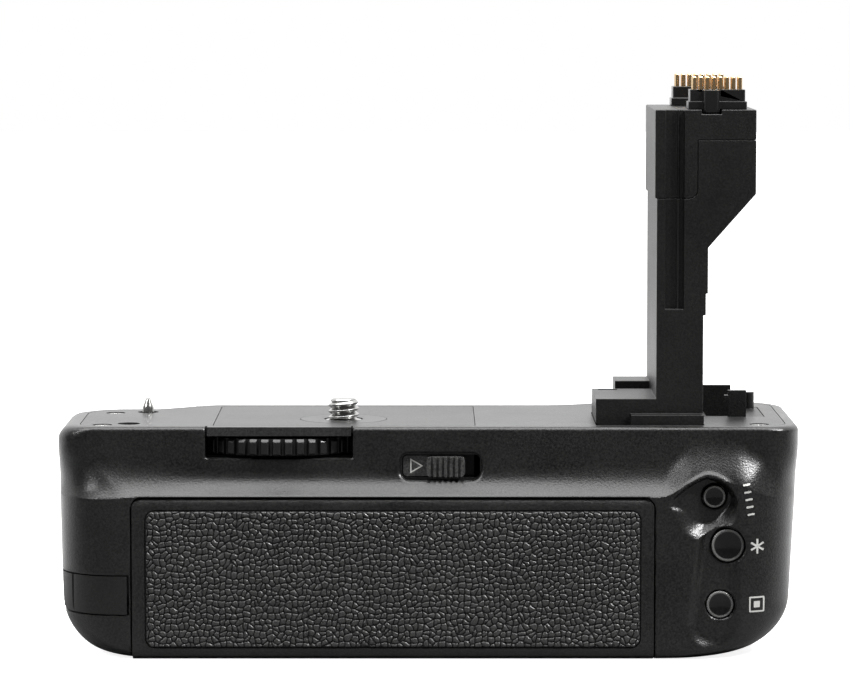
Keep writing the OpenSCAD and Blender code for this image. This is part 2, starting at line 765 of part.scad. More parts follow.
// a channel in the rear face, with a thin rib along it
module tower_channel() {
    difference() {
        span([tower_x + 1.7, tower_y - 1, tower_top - 40.4], [tower_x + 5.5, tower_y + 1.2, tower_top + 1]);
        span([tower_x + 4.1, tower_y + 0.5, tower_top - 42], [tower_x + 4.5, tower_y + 2, tower_top + 2]);
    }
}
// the hollow that the wires run through, up to a height
module tower_hollow(top) {
    span([tower_x + 2, tower_y + 3, under_z - 3], [tower_x + tower_w - 1.8, tower_y1 - 1.8, top]);
    translate([0, tower_y1 - 2, 0])
        rotate([90, 0, 0])
            linear_extrude(tower_d - 4)
                polygon([[tower_x + 10.2, top], [tower_x + head_w - 1.8, top],
                    [tower_x + head_w - 1.8, head_z + 0.8], [tower_x + tower_w + 2.2, head_z - 7]]);
}
module tower_body() {
    right = tower_x + tower_w;
    color(shell_grey)
    difference() {
        union() {
            tower_prism()
                polygon(concat([[tower_x, under_z - 1.7], [right, under_z - 1.7], [right, body_h + 22],
                    [right + 0.5, body_h + 22], [right + 0.5, body_h + 26.4], [right + 0.9, body_h + 26.4],
                    [right + 0.9, head_z - 10.9], [tower_x + head_w, head_z],
                    [tower_x + head_w, cap_step - cap_gap], [cap_corner[0] + 1.9, cap_step - cap_gap]],
                    arc(cap_corner, 1.9, 0, -90, 5, 0, 5), [[tower_x, cap_z]]));
            span([foot_x0, tower_y, under_z - 1.7], [tower_x + 1, foot_y1, body_h + 5]);
            span([tower_x - 7.2, tower_y + 26.2, under_z - 1.7], [tower_x + 1, tower_y1, body_h + 6.2]);
            span([foot_x0 + 7, tower_y - 3.4, under_z + 0.2], [right, tower_y + 1, body_h + 2]);
            span([foot_x0 - 1.6, tower_y - 1.4, under_z - 1.7], [right + 0.2, tower_y1 + 1, under_z]);
        }
        tower_channel();
        tower_hollow(tower_top);
        span([foot_x0 + 1.6, tower_y + 1.6, under_z - 3], [tower_x + 3, foot_y1 - 1.6, body_h + 3.4]);
        span([foot_x0 + 1.2, foot_y1 - 3, body_h + 3.8], [foot_x0 + 5.2, foot_y1 - 1.2, body_h + 6]);
    }
}
module tower_cap() {
    color(plate_grey)
    difference() {
        tower_prism()
            polygon(concat([[tower_x - cap_proud, tower_top], [tower_x - cap_proud, cap_z + cap_gap]],
                arc(cap_corner, 1.9 - cap_gap, -90, 0, 5, 0, 5),
                [[cap_corner[0] + 1.9 - cap_gap, cap_step], [tower_x + head_w, cap_step],
                [tower_x + head_w, tower_top]]));
        tower_channel();
        tower_hollow(tower_top - 2);
        span([plug_x - 3.3, tower_y - 1, tower_top - 0.9], [plug_x + 0.7, tower_y + 4.5, tower_top + 1]);
    }
}
// a plug: flange, block and a rounded key rib on one side
module plug(x, y0, y1, key) {
    seat_block(x - 5.95, x + 5.95, y0, y1, tower_top + 0.05, tower_top + 1.6, 0.5);
    seat_block(x - 5.6, x + 5.6, y0 + 0.4, y1 - 0.4, tower_top + 1.5, tower_top + 4, 0.5);
    if (key) {
        post([x - 1.3, y0 + 0.5], 1.8, tower_top - 0.6, tower_top + 3.9);
    }
}
rear_plug_y = tower_y + 2;
front_plug_x = plug_x - 1.9;
front_plug_y = tower_y1 - 8.4;
module rear_plug() {
    color(skin_black)
    difference() {
        plug(plug_x, rear_plug_y, rear_plug_y + 7, true);
        span([plug_x - 9, rear_plug_y - 9, tower_top - 3], [plug_x + 9, rear_plug_y - 0.9, tower_top + 9]);
        span([plug_x - 9, rear_plug_y, tower_top - 3], [plug_x + 9, rear_plug_y + 9, tower_top + 0.05]);
    }
}
module front_plug() {
    color(skin_black)
    plug(front_plug_x, front_plug_y, front_plug_y + 7, false);
}
module plug_pins() {
    color(brass)
    for (at = [[plug_x, rear_plug_y], [front_plug_x, front_plug_y]]) {
        for (row = [2, 5]) {
            for (i = [0 : 7]) {
                translate([at[0] + (i - 3.5) * 1.32, at[1] + row, tower_top + 4]) {
                    cylinder(h = pin_up - 0.45, r = 0.45);
                    translate([0, 0, pin_up - 0.45])
                        sphere(0.45);
                }
            }
        }
    }
}
// keeps the camera's own battery door: a well, a post and a back wall
module door_holder() {
    color(shell_grey)
    difference() {
        union() {
            span([well_x0, well_y0, body_h - 8], [well_x1, well_y1, body_h - 0.05]);
            span([well_x0 + 5.6, well_y0, body_h - 1], [well_x0 + 9.3, well_y0 + 1.6, body_h + 5.4]);
            span([well_x0 + 4.8, well_y0, body_h + 3.2], [well_x0 + 6, well_y0 + 1.6, body_h + 4.4]);
            span([well_x0, well_y1 - 1.4, body_h - 1], [well_x0 + 7.4, well_y1, body_h + 4.8]);
            post([well_x1 - 1.9, well_y1 - 1.8], 1.2, body_h - 1, body_h + 3.4);
        }
        span([well_x0 + 1.2, well_y0 + 1.6, body_h - 6.8], [well_x1 - 3.8, well_y1 - 1.4, body_h + 1]);
    }
}

module magazine_tray() {
    color(shell_grey)
    difference() {
        span([mag_x - tray_half, door_in, tray_z], [mag_x + tray_half, tray_end, pack_z + pack_h - 0.6]);
        for (side = [-1, 1]) {
            span([mag_x + side * divider / 2, door_in - 1, tray_z + tray_t],
                [mag_x + side * (pack_x + pack_w + play), tray_end - tray_wall, 60]);
            span([mag_x + side * (pack_x + pack_w + play + 1.6), door_in + 2, tray_z + tray_t],
                [mag_x + side * (tray_half - 1.6), tray_end - tray_wall, 60]);
        }
        span([mag_x - divider, pack_y + 30, pack_z + pack_h - 2], [mag_x + divider, tray_end + 1, 60]);
    }
}
// field of the leatherette on the door
skin_half = door_w / 2 - 2.65;
skin_z0 = 2.5;
skin_z1 = door_h - 2.4;
module magazine_door() {
    color(shell_grey)
    difference() {
        union() {
            intersection() {
                rear_block(mag_x - door_w / 2, mag_x + door_w / 2, -6, door_h, rear_plane, door_in, 2);
                translate([mag_x - door_w, 0, 0])
                    rotate([90, 0, 90])
                        linear_extrude(2 * door_w)
                            door_side();
            }
            span([2.2, door_in - 0.5, door_h - 2.6], [8.2, door_in + 4, door_h - 0.4]);
        }
        rear_block(mag_x - skin_half - 0.1, mag_x + skin_half + 0.1, skin_z0 - 0.1, skin_z1 + 0.1,
            -60, rear_plane + 0.6, 2.1);
    }
}
// the door seen from its end, with its lower edge rounded and a wide arc over its upper edge
door_top_r = 3.14;
module door_side() {
    difference() {
        translate([rear_plane, 0])
            square([door_t, door_h]);
        translate([rear_plane - 0.1, -0.1])
            difference() {
                square(rear_foot_r + 0.1);
                translate([rear_foot_r + 0.1, rear_foot_r + 0.1])
                    circle(rear_foot_r);
            }
        translate([rear_plane - 0.1, door_h - 2.2])
            difference() {
                square([1, 2.3]);
                translate([door_top_r + 0.1, 0])
                    circle(door_top_r);
            }
    }
}
module door_skin() {
    color(skin_black)
    rear_block(mag_x - skin_half, mag_x + skin_half, skin_z0, skin_z1, -body_d / 2, rear_plane + 0.6, 2);
}
module pack(side) {
    x = mag_x + side * (pack_x + pack_w / 2);
    seat_block(x - pack_w / 2, x + pack_w / 2, pack_y, pack_y + pack_l, pack_z, pack_z + pack_h, 1.5);
}
module left_pack() {
    color(skin_black)
    pack(-1);
}
module right_pack() {
    color(skin_black)
    pack(1);
}
module pack_contacts() {
    color(brass)
    for (side = [-1, 1]) {
        for (i = [-1.5 : 1 : 1.5]) {
            x = mag_x + side * (pack_x + pack_w / 2) + i * 5;
            span([x - 1, pack_y + pack_l + 0.03, pack_z + 5], [x + 1, tray_end - tray_wall, pack_z + 13]);
        }
    }
}
contact_y = pack_y + 30.6;
contact_z = pack_z + pack_h - 2;
module magazine_contacts() {
    color(brass)
    for (i = [0 : 3]) {
        span([mag_x - 0.9, contact_y + i * 2.8, contact_z],
            [mag_x + 0.9, contact_y + i * 2.8 + 1.8, contact_z + 0.4]);
    }
}
module terminal_block() {
    color(skin_black)
    union() {
        span([mag_x - 4, contact_y - 1, door_h - 0.6], [mag_x + 4, contact_y + 11.2, board_top - 1.4]);
        for (i = [0 : 3]) {
            span([mag_x - 0.5, contact_y + i * 2.8 + 0.4, contact_z + 0.7],
                [mag_x + 0.5, contact_y + i * 2.8 + 1.4, door_h - 0.5]);
        }
    }
}
module main_board() {
    color([0.1, 0.3, 0.18])
    span([screw_x - 33.6, shelf_plane + 5.7, board_top - 1.4],
        [screw_x + 15.9, shelf_plane + 41.7, board_top]);
}

// the slider's face lies in the sunk field; its ribbed knob stands at the right
module release_slider() {
    color(shell_grey)
    difference() {
        union() {
            rear_block(slot_x0 + 0.7, knob_x1 + 0.1, latch_z - 2.1, latch_z + 2.1,
                shelf_plane + 1, shelf_plane + wall + 0.4, 0.8);
            rear_block(knob_x0, knob_x1, latch_z - 2, latch_z + 2, shelf_plane - 1.5, shelf_plane + 1.4, 0.9);
        }
        for (i = [0 : 5]) {
            span([knob_x0 + 0.85 + i * 1.1, -60, latch_z - 3],
                [knob_x0 + 1.35 + i * 1.1, shelf_plane - 0.55, latch_z + 3]);
        }
    }
}
module latch_bolt() {
    color(metal)
    union() {
        span([slot_x0 - 1.6, shelf_plane + wall + 0.4, latch_z - 3.8],
            [knob_x1 + 2, shelf_plane + wall + 1.4, latch_z + 3.2]);
        span([2.6, shelf_plane + wall + 0.4, door_h - 0.1], [7.6, shelf_plane + wall + 1.4, latch_z - 3.7]);
    }
}

// a round button with a domed top, a flange inside the wall and a stem
module thumb_button(b) {
    face = rear_plane + pocket_in * pocket(b[0], b[1]) - b[3];
    stop = board_y - 0.5 - button_travel - 0.1;
    intersection() {
        union() {
            rod(b[0], b[1], b[2], face, stop);
            rod(b[0], b[1], b[2] + 0.9, stop - 0.6, stop);
        }
        translate([b[0], face + 3 * b[2], b[1]])
            sphere(3 * b[2] + 0.001, $fn = 96);
    }
}
module upper_button() {
    color(skin_black)
    thumb_button(button_rows[0]);
}
module middle_button() {
    color(skin_black)
    thumb_button(button_rows[1]);
}
module lower_button() {
    color(skin_black)
    thumb_button(button_rows[2]);
}
module button_domes() {
    color(metal)
    for (b = button_rows) {
        rod(b[0], b[1], 1.6, board_y - 0.5, board_y);
    }
}
module button_board() {
    color([0.1, 0.3, 0.18])
    span([button_x - 7, board_y, 8.2], [button_x + 8, board_y + 1.2, 37.2]);
}

module shutter_button() {
    color(skin_black)
    toward_shutter(0)
        intersection() {
            union() {
                translate([0, 0, 12.2])
                    cylinder(h = 5.6, r = 5.1);
                translate([0, 0, shutter_rest])
                    cylinder(h = 0.9, r = 6.2);
            }
            translate([0, 0, 17.8 - 16])
                sphere(16, $fn = 96);
        }
}
module shutter_collar() {
    color(plate_grey)
    toward_shutter(16.25)
        difference() {
            cylinder(h = 1.1, r1 = 7.3, r2 = 6.8);
            translate([0, 0, -1])
                cylinder(h = 4, r = 5.45);
        }
}
module shutter_switch() {
    color(metal)
    toward_shutter(0)
        union() {
            translate([-8.6, -4, 8.8])
                cube([17.2, 8, 1]);
            translate([-3, -3, 9.7])
                cube([6, 6, shutter_rest - shutter_travel - 0.1 - 9.7]);
            for (s = [-1, 1]) {
                translate([s * 7.6 - 0.9, -3, 9.7])
                    cube([1.8, 6, 2.9]);
            }
        }
}

module control_dial() {
    color(skin_black)
    translate([dial_x, dial_y + dial_wide / 2, dial_z])
        rotate([90, 0, 0])
            difference() {
                linear_extrude(dial_wide)
                    polygon(ribbed(dial_r, 30, 0.38, 0.6));
                translate([0, 0, -1])
                    cylinder(h = 20, r = 1 + run);
            }
}
module dial_axle() {
    color(metal)
    rod(dial_x, dial_z, 1, dial_y - 5.6, dial_y + 5.6);
}
module dial_bracket() {
    color(shell_grey)
    difference() {
        union() {
            span([dial_x - 11.6, dial_y - 5.6, dial_z - 6], [dial_x - 9.6, dial_y + 5.6, dial_z + 6]);
            for (s = [-1, 1]) {
                span([dial_x - 10.1, dial_y + s * 4, dial_z - 3.6],
                    [dial_x + 3, dial_y + s * 5.6, dial_z + 3.6]);
            }
        }
        rod(dial_x, dial_z, 1.01, dial_y - 9, dial_y + 9);
    }
}

module power_switch() {
    color(shell_grey)
    difference() {
        union() {
            span([power_x - 1.6, power_y - 2.2, power_z - 4], [power_x - 0.25, power_y + 2.2, power_z + 1]);
            span([power_x - 5.4, power_y - 0.9, power_z - 3.4],
                [power_x - 1.5, power_y + 0.9, power_z - 0.4]);
            span([power_x - 6, power_y - 3, power_z - 5], [power_x - 4.8, power_y + 3, power_z + 1.4]);
        }
        for (i = [0 : 2]) {
            span([power_x - 0.7, power_y - 5, power_z - 3.1 + i * 1.2],
                [power_x, power_y + 5, power_z - 2.6 + i * 1.2]);
        }
    }
}

// a thin groove across the flap, where it bends
fold_x = -half_w + 3.2;
module cord_cover() {
    color(skin_black)
    difference() {
        union() {
            surface_patch(1.05, [-90, -60, cover_z - 3.85],
                [mag_x - mouth_half - 0.85, cover_y, cover_z + 3.85], 6);
            post([cover_x, cover_y], cover_r, cover_z - 3.85, cover_z + 3.85);
        }
        span([fold_x - 0.2, -60, 0], [fold_x + 0.2, rear_plane + 5, body_h]);
    }
}

rear_shell();
front_shell();
top_plate();
seat_pad();
front_skin();
strap_bar();
tripod_bush();
housing_screws();
top_screws();
drive_frame();
frame_screws();
thumbwheel();
attachment_screw();
screw_clip();
locating_pin();
tower_body();
tower_cap();
rear_plug();
front_plug();
plug_pins();
door_holder();
magazine_tray();
magazine_door();
door_skin();
left_pack();
right_pack();
pack_contacts();
magazine_contacts();
terminal_block();
main_board();
release_slider();
latch_bolt();
upper_button();
middle_button();
lower_button();
button_board();
button_domes();
shutter_button();
shutter_collar();
shutter_switch();
control_dial();
dial_axle();
dial_bracket();
power_switch();
cord_cover();
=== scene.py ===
import math

import bpy
import numpy as np
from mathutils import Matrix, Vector


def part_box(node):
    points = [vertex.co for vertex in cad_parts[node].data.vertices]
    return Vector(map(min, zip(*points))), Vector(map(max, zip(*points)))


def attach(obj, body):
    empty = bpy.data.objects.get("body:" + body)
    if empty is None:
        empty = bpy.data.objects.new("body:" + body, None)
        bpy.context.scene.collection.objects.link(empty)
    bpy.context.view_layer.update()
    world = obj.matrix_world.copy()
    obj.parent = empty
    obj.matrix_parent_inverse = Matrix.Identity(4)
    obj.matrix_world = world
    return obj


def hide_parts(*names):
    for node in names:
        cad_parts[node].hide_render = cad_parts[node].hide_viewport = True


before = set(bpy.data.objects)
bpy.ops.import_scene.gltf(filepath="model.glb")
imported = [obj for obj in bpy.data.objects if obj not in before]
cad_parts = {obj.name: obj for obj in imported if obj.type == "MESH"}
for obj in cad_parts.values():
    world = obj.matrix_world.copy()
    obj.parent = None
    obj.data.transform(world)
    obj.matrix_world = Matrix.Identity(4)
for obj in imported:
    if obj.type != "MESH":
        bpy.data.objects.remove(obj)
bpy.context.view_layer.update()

# Rear shell: the moulded half of the housing that carries the magazine mouth, the thumbwheel window,
# the slider field and the thumb pocket. It is black plastic with a fine spark-eroded grain, drawn here
# as a close grid of the housing's own surface and then cut by its openings.
MM = 0.001


def box_mm(node):
    """Lowest and highest corner of a CAD node in millimetres."""
    low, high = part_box(node)
    return np.array(low) / MM, np.array(high) / MM


def middle_mm(node):
    low, high = box_mm(node)
    return (low + high) / 2


rear_high = box_mm("rear_shell")[1]
door_low, door_high = box_mm("magazine_door")
skin_low, skin_high = box_mm("door_skin")
half_width = rear_high[0]
seat_z = rear_high[2]
rear_plane = door_low[1]
front_plane = box_mm("front_shell")[1][1]
door_top = door_high[2]
shelf_depth = 4.0
shelf_plane = rear_plane + shelf_depth
shelf_z = door_top + 0.3
bulge_z = door_top - 1
split_y = (rear_high[1] + box_mm("front_shell")[0][1]) / 2
split_gap = 0.01
seam_round = 0.2
wall = 2.2
floor = 2.2
plate_under = seat_z - 1.4
rim_width = 1.3
upper_button, middle_button, lower_button = [
    middle_mm(name) for name in ("upper_button", "middle_button", "lower_button")]
button_x = upper_button[0]
pocket_depth = 2.8
seat_left, seat_mid, seat_right = 8.0, 16.6, 24.0
left_foot, right_foot = (11.5, 12.0), (14.4, 11.5)
left_draft, right_draft = 0.85, 2.2
left_shoulder, right_shoulder = 3.0, 1.2
rear_foot, front_foot, seat_round = 2.5, 8, 1
draft_from = seat_z - 6
corner_left, corner_right, corner_more, corner_fade = 6, 7, 6, 10


def ease(t):
    t = np.clip(t, 0, 1)
    return t * t * (3 - 2 * t)


def round_in(radius, height):
    """How far a rounded edge stands back at a height above its foot, or at a distance from its rim."""
    rest = np.clip(radius - height, 0, radius)
    return radius - np.sqrt(radius * radius - rest * rest)


def oval_in(rx, rz, height):
    share = np.clip((rz - height) / rz, 0, 1)
    return rx - rx * np.sqrt(1 - share * share)


def off_line(x, z, a, b):
    """Distance of points from the line between a and b, and how far along it they lie."""
    run = np.subtract(b, a)
    t = np.clip(((x - a[0]) * run[0] + (z - a[1]) * run[1]) / (run @ run), 0, 1)
    return np.hypot(x - a[0] - t * run[0], z - a[1] - t * run[1]), t


dish = (button_x - 1.9, upper_button[2] - 2.3)
dish_r = 6.6
tail_end = (door_high[0] + 1.9, door_top - 1.7)
tail_r, tail_bend = 0.3, 1.4
lip_high, lip_off, lip_wide = 0.3, 0.25, 0.45
groove_low = (button_x - 0.4, lower_button[2] - 3.8)
groove_high = (button_x + 1, middle_button[2] + 0.6)
groove_r, groove_narrows = 5.7, 0.9
groove_share, groove_deepens = 0.42, 0.26
dish_wall, dish_wall_more = 0.9, 2.6


def teardrop(x, z):
    """Distance outside the dish of the upper button, whose upper edge runs on to the door's corner."""
    off, along = off_line(x, z, dish, tail_end)
    pointed = off - dish_r + (dish_r - tail_r) * along ** tail_bend
    plain_dish = np.hypot(x - dish[0], z - dish[1]) - dish_r
    above = ease((z - dish[1] + 1) / 2.5)
    return above * pointed + (1 - above) * plain_dish, along


def pocket(x, z):
    """Share of its depth that the thumb pocket has: the dish and a groove for the lower buttons."""
    off, along = off_line(x, z, groove_low, groove_high)
    groove = 1 - ease((off / (groove_r - groove_narrows * along) - 0.5) / 0.5)
    outside, tail = teardrop(x, z)
    wall_wide = dish_wall + dish_wall_more * ease((dish[1] + 2.5 - z) / 5)
    inside = np.clip(-outside / wall_wide, 0, 1)
    dished = (1 - tail) * (0.35 * ease(inside) + 0.65 * inside)
    return np.maximum((groove_share + groove_deepens * along) * groove, dished)


slope_high, slope_more = 5.4, 1.8
pocket_rise, pocket_rise_top = 2.5, 4.6
beyond_fall, beyond_fall_top = 3, 4.2
left_fall = 1.5


def shelf(x, z):
    """The slope above the door, that stands the upper rear face back. It lies higher at the thumb
    pocket, falls again beyond it and fades out softly at both ends."""
    right = ease((x - door_high[0] - 1.2) / 7.5)
    beyond = ease((x - button_x - 3.5) / 9)
    left = ease((door_low[0] - x) / 9)
    start = shelf_z + pocket_rise * right - beyond_fall * beyond - left_fall * left
    end = (shelf_z + slope_high + slope_more * ease((x - 5) / 35) + pocket_rise_top * right
           - beyond_fall_top * beyond + slope_more * ease((-40 - x) / 18))
    share = np.clip((z - start) / (end - start), 0, 1)
    soft = 0.6 * right + left
    return shelf_depth * ((1 - soft) * (1 - (1 - share) ** 2) + soft * ease(share))


def rear_base(x, z):
    return rear_plane + shelf(x, z) + round_in(rear_foot, z) + round_in(seat_round, seat_z - z)


def lip(x, z):
    """A low bead round the upper edge of the dish, no higher than the slope lies back."""
    outside, _ = teardrop(x, z)
    bead = lip_high * np.exp(-((outside - lip_off) / lip_wide) ** 2) * ease((z - dish[1] - 1) / 3)
    return np.minimum(bead, shelf(x, z))


def relief(x, z, plain):
    """How far the thumb pocket, or the plain pad behind it, lies below the rear face."""
    if plain:
        return np.maximum(0, pocket_depth * ease((x - button_x + 9.5) / 5) - shelf(x, z))
    return np.maximum(0, pocket_depth * pocket(x, z) - shelf(x, z)) - lip(x, z)


def rear_y(x, z, plain):
    return rear_base(x, z) + relief(x, z, plain)


def end_in(z, draft):
    return draft * np.clip((draft_from - z) / draft_from, 0, None)


def left_x(z):
    wall_x = -half_width + end_in(z, left_draft)
    return wall_x + oval_in(*left_foot, z) + round_in(left_shoulder, seat_z - z)


def right_wall(z):
    return half_width - end_in(z, right_draft)


def right_x(z):
    return right_wall(z) - oval_in(*right_foot, z) - round_in(right_shoulder, seat_z - z)


def rear_corners(z):
    low = 1 - ease((z - shelf_z) / corner_fade)
    return corner_left + corner_more * low, corner_right + corner_more * low


def bulge(z):
    return 1 - ease((z - bulge_z) / (seat_z - seat_round - bulge_z))


def seat_front(x):
    return (seat_left + (seat_mid - seat_left) * ease((x + half_width - 17) / 14)
            + (seat_right - seat_mid) * ease((x - half_width + 50) / 20))


def front_y(x, z):
    return (seat_front(x) + (front_plane - seat_front(x)) * bulge(z)
            - round_in(front_foot, z) - round_in(seat_round, seat_z - z))


def front_corner(z, inset):
    """Middle and radius of the front left corner, which reaches past the split at the seat."""
    radius = 9 + 5 * bulge(z)
    x0 = left_x(z) + radius
    return x0, front_y(x0, z) - radius, max(1, radius - inset)


def left_edge(y, z, inset):
    """X of the left end along Y."""
    x0, middle, radius = front_corner(z, inset)
    over = np.clip(y - middle, 0, radius)
    return x0 - np.sqrt(radius * radius - over * over)


def polar(a, b, radius, turn):
    """Points round a middle at given angles."""
    return np.stack([a + radius * np.cos(turn), b + radius * np.sin(turn)], 1)


def at_height(outline, z):
    return np.column_stack([outline, np.full(len(outline), z)])


def rear_ring(z, inset, stations, arc_steps, end_steps, plain):
    """One level of the rear half: points from the left split round the rear face to the right split."""
    radius_l, radius_r = rear_corners(z)
    x0, x1 = left_x(z) + radius_l, right_x(z) - radius_r
    r0, r1 = max(1, radius_l - inset), max(1, radius_r - inset)
    xs = x0 + (x1 - x0) * stations
    ys = rear_y(xs, z, plain) + inset
    turn = np.radians(np.linspace(180, 270, arc_steps + 1))[:-1]
    left = polar(x0, ys[0] + r0, r0, turn)
    turn = np.radians(np.linspace(270, 360, arc_steps + 1))[1:]
    y1 = rear_base(x1, z) + inset + (relief(x1, z, True) if plain else 0)
    right = polar(x1, y1 + r1, r1, turn)
    if not plain:
        right[:, 1] += rear_y(right[:, 0], z, False) - rear_base(x1, z)
    steps = np.linspace(0, 1, end_steps + 1)[:-1, None] ** 2
    right_split = np.array([right[-1][0], split_y - split_gap])
    right_end = right_split + (right[-1] - right_split) * steps
    left_ys = split_y - split_gap + (left[0][1] - split_y + split_gap) * steps[:, 0]
    left_end = np.stack([left_edge(left_ys, z, inset), left_ys], 1)
    return np.concatenate([left_end, left, np.stack([xs, ys], 1), right, right_end[::-1]])


def new_piece(name, points, faces):
    """A piece from points in mm and faces."""
    mesh = bpy.data.meshes.new(name)
    mesh.from_pydata((points * MM).tolist(), [], faces)
    piece = bpy.data.objects.new(name, mesh)
    bpy.context.scene.collection.objects.link(piece)
    return piece


def inward(ring):
    """Inward normals of an open chain of points seen from above."""
    along = np.gradient(ring, axis=0)
    return np.stack([-along[:, 1], along[:, 0]], 1) / np.linalg.norm(along, axis=1)[:, None]


def closed_loft(name, rings):
    """A closed solid through rings of equal length, each anticlockwise and given from below up, in mm."""
    levels, count, _ = rings.shape
    i = np.arange(count)
    j = (i + 1) % count
    faces = []
    for k in range(levels - 1):
        a = k * count
        faces += np.stack([a + i, a + j, a + count + j, a + count + i], 1).tolist()
    faces += [i[::-1].tolist(), (i + (levels - 1) * count).tolist()]
    return new_piece(name, rings.reshape(-1, 3), faces)


def rounded_rect(a0, a1, b0, b1, radius, steps=8):
    """Outline of a rectangle with round corners, anticlockwise."""
    points = []
    corners = [(a1 - radius, b0 + radius, -90), (a1 - radius, b1 - radius, 0),
               (a0 + radius, b1 - radius, 90), (a0 + radius, b0 + radius, 180)]
    for a, b, start in corners:
        turn = np.radians(np.linspace(start, start + 90, steps + 1))
        points.append(polar(a, b, radius, turn))
    return np.concatenate(points)


def circle(a, b, radius, steps=48):
    return polar(a, b, radius, np.linspace(0, 2 * math.pi, steps, endpoint=False))


def along_y(name, outline, y0, y1):
    """A prism through the rear face: an outline in X and Z from y0 to y1."""
    turned = outline[::-1]
    ends = [np.stack([turned[:, 0], np.full(len(turned), y), turned[:, 1]], 1) for y in (y0, y1)]
    return closed_loft(name, np.stack(ends))


def along_z(name, outline, z0, z1):
    return closed_loft(name, np.stack([at_height(outline, z) for z in (z0, z1)]))


def block(name, low, high):
    outline = np.array([[low[0], low[1]], [high[0], low[1]], [high[0], high[1]], [low[0], high[1]]])
    return along_z(name, outline, low[2], high[2])


def shape_with(piece, operation, *tools):
    """Cuts tools from a piece, or joins or keeps them, and removes the tools."""
    for tool in tools:
        step = piece.modifiers.new("shape", "BOOLEAN")
        step.operation = operation
        step.solver = "MANIFOLD"
        step.object = tool
    settle(piece)
    for tool in tools:
        bpy.data.objects.remove(tool)


def settle(piece):
    """Makes the result of a piece's modifiers its mesh."""
    graph = bpy.context.evaluated_depsgraph_get()
    made = bpy.data.meshes.new_from_object(piece.evaluated_get(graph))
    piece.modifiers.clear()
    piece.data = made


def smooth(piece, angle=32):
    piece.data.shade_smooth()
    piece.data.set_sharp_from_angle(angle=math.radians(angle))


def rect_distance(x, z, x0, x1, z0, z1, radius):
    """Signed distance of points from a rounded rectangle, positive outside it."""
    ax = np.abs(x - (x0 + x1) / 2) - (x1 - x0) / 2 + radius
    az = np.abs(z - (z0 + z1) / 2) - (z1 - z0) / 2 + radius
    outer = np.hypot(np.maximum(ax, 0), np.maximum(az, 0))
    return outer + np.minimum(np.maximum(ax, az), 0) - radius


mouth = (door_low[0] - 0.2, door_high[0] + 0.2, -6, door_top + 0.2, 2.2)
wheel_low, wheel_high = box_mm("thumbwheel")
wheel_middle = (wheel_low + wheel_high) / 2
wheel_slot = (wheel_middle[0] - 14.9, wheel_middle[0] + 14.9, wheel_low[2] - 0.6, seat_z + 8, 0.4)
slider_low, slider_high = box_mm("release_slider")
latch_z = (slider_low[2] + slider_high[2]) / 2
field = (slider_low[0] - 0.7, slider_high[0] + 3.3, latch_z - 2.75, latch_z + 2.75, 2)
window = (field[0] + 0.5, field[1] - 0.3, latch_z - 2.3, latch_z + 2.3, 1)
button_sizes = {"upper_button": 2.3, "middle_button": 3.35, "lower_button": 2.8}
button_play = 0.2
cover_z = middle_mm("cord_cover")[2]
cover_y = -20.2
cover_right = mouth[0] - 0.5
cover_half, cover_deep, cover_groove = 4, 1.25, 0.2
mouth_roll, wheel_roll, button_roll = 0.45, 0.4, 0.35


def rear_marks(ring, z):
    """Depth of the rolled edges and of the cord cover's seat below the plain surface."""
    x, y = ring[:, 0], ring[:, 1]
    rear = y < rear_plane + 14
    depth = 0 * x
    for opening, roll in ((mouth, mouth_roll), (wheel_slot, wheel_roll), (field, mouth_roll)):
        depth = np.maximum(depth, round_in(roll, rect_distance(x, z, *opening)))
    for name, radius in button_sizes.items():
        at = middle_mm(name)
        off = np.hypot(x - at[0], z - at[2]) - radius - button_play
        depth = np.maximum(depth, round_in(button_roll, off))
    outside = np.maximum.reduce([x - cover_right, y - cover_y, np.abs(z - cover_z) - cover_half + 0 * x])
    seat = cover_deep * np.clip(-outside / 0.15, 0, 1)
    groove = cover_groove * np.clip(1 - outside / 0.25, 0, 1)
    seam = round_in(seam_round, split_y - split_gap - y)
    return np.maximum.reduce([depth * rear, seat, groove, seam])


def housing_rings(ring_at, levels, marks):
    rings = []
    for z in levels:
        ring = ring_at(z)
        flat = ring + inward(ring) * marks(ring, z)[:, None]
        rings.append(at_height(flat, z))
    return np.stack(rings)


fine_x = np.linspace(0, 1, 500)
fine_z = np.concatenate([np.linspace(0, 2.5, 14)[:-1], np.linspace(2.5, 30, 100)[:-1],
                         np.linspace(30, seat_z - 1.1, 76)[:-1], np.linspace(seat_z - 1.1, seat_z, 9)])
rear_shell = closed_loft("rear_housing", housing_rings(
    lambda z: rear_ring(z, 0, fine_x, 72, 40, False), fine_z, rear_marks))
plain_x = np.linspace(0, 1, 40)
plain_z = np.concatenate([[floor, 3, 5, 8, 12, 20, bulge_z], np.linspace(shelf_z, plate_under - 0.15, 12)])


def plain_rings(ring_at, levels):
    return np.stack([at_height(ring_at(z), z) for z in levels])


def past_split(ring, y):
    """Draws the two ends of a chain on past the split, so that a hollow runs through it."""
    ring = ring.copy()
    ring[[0, -1], 1] = y
    return ring


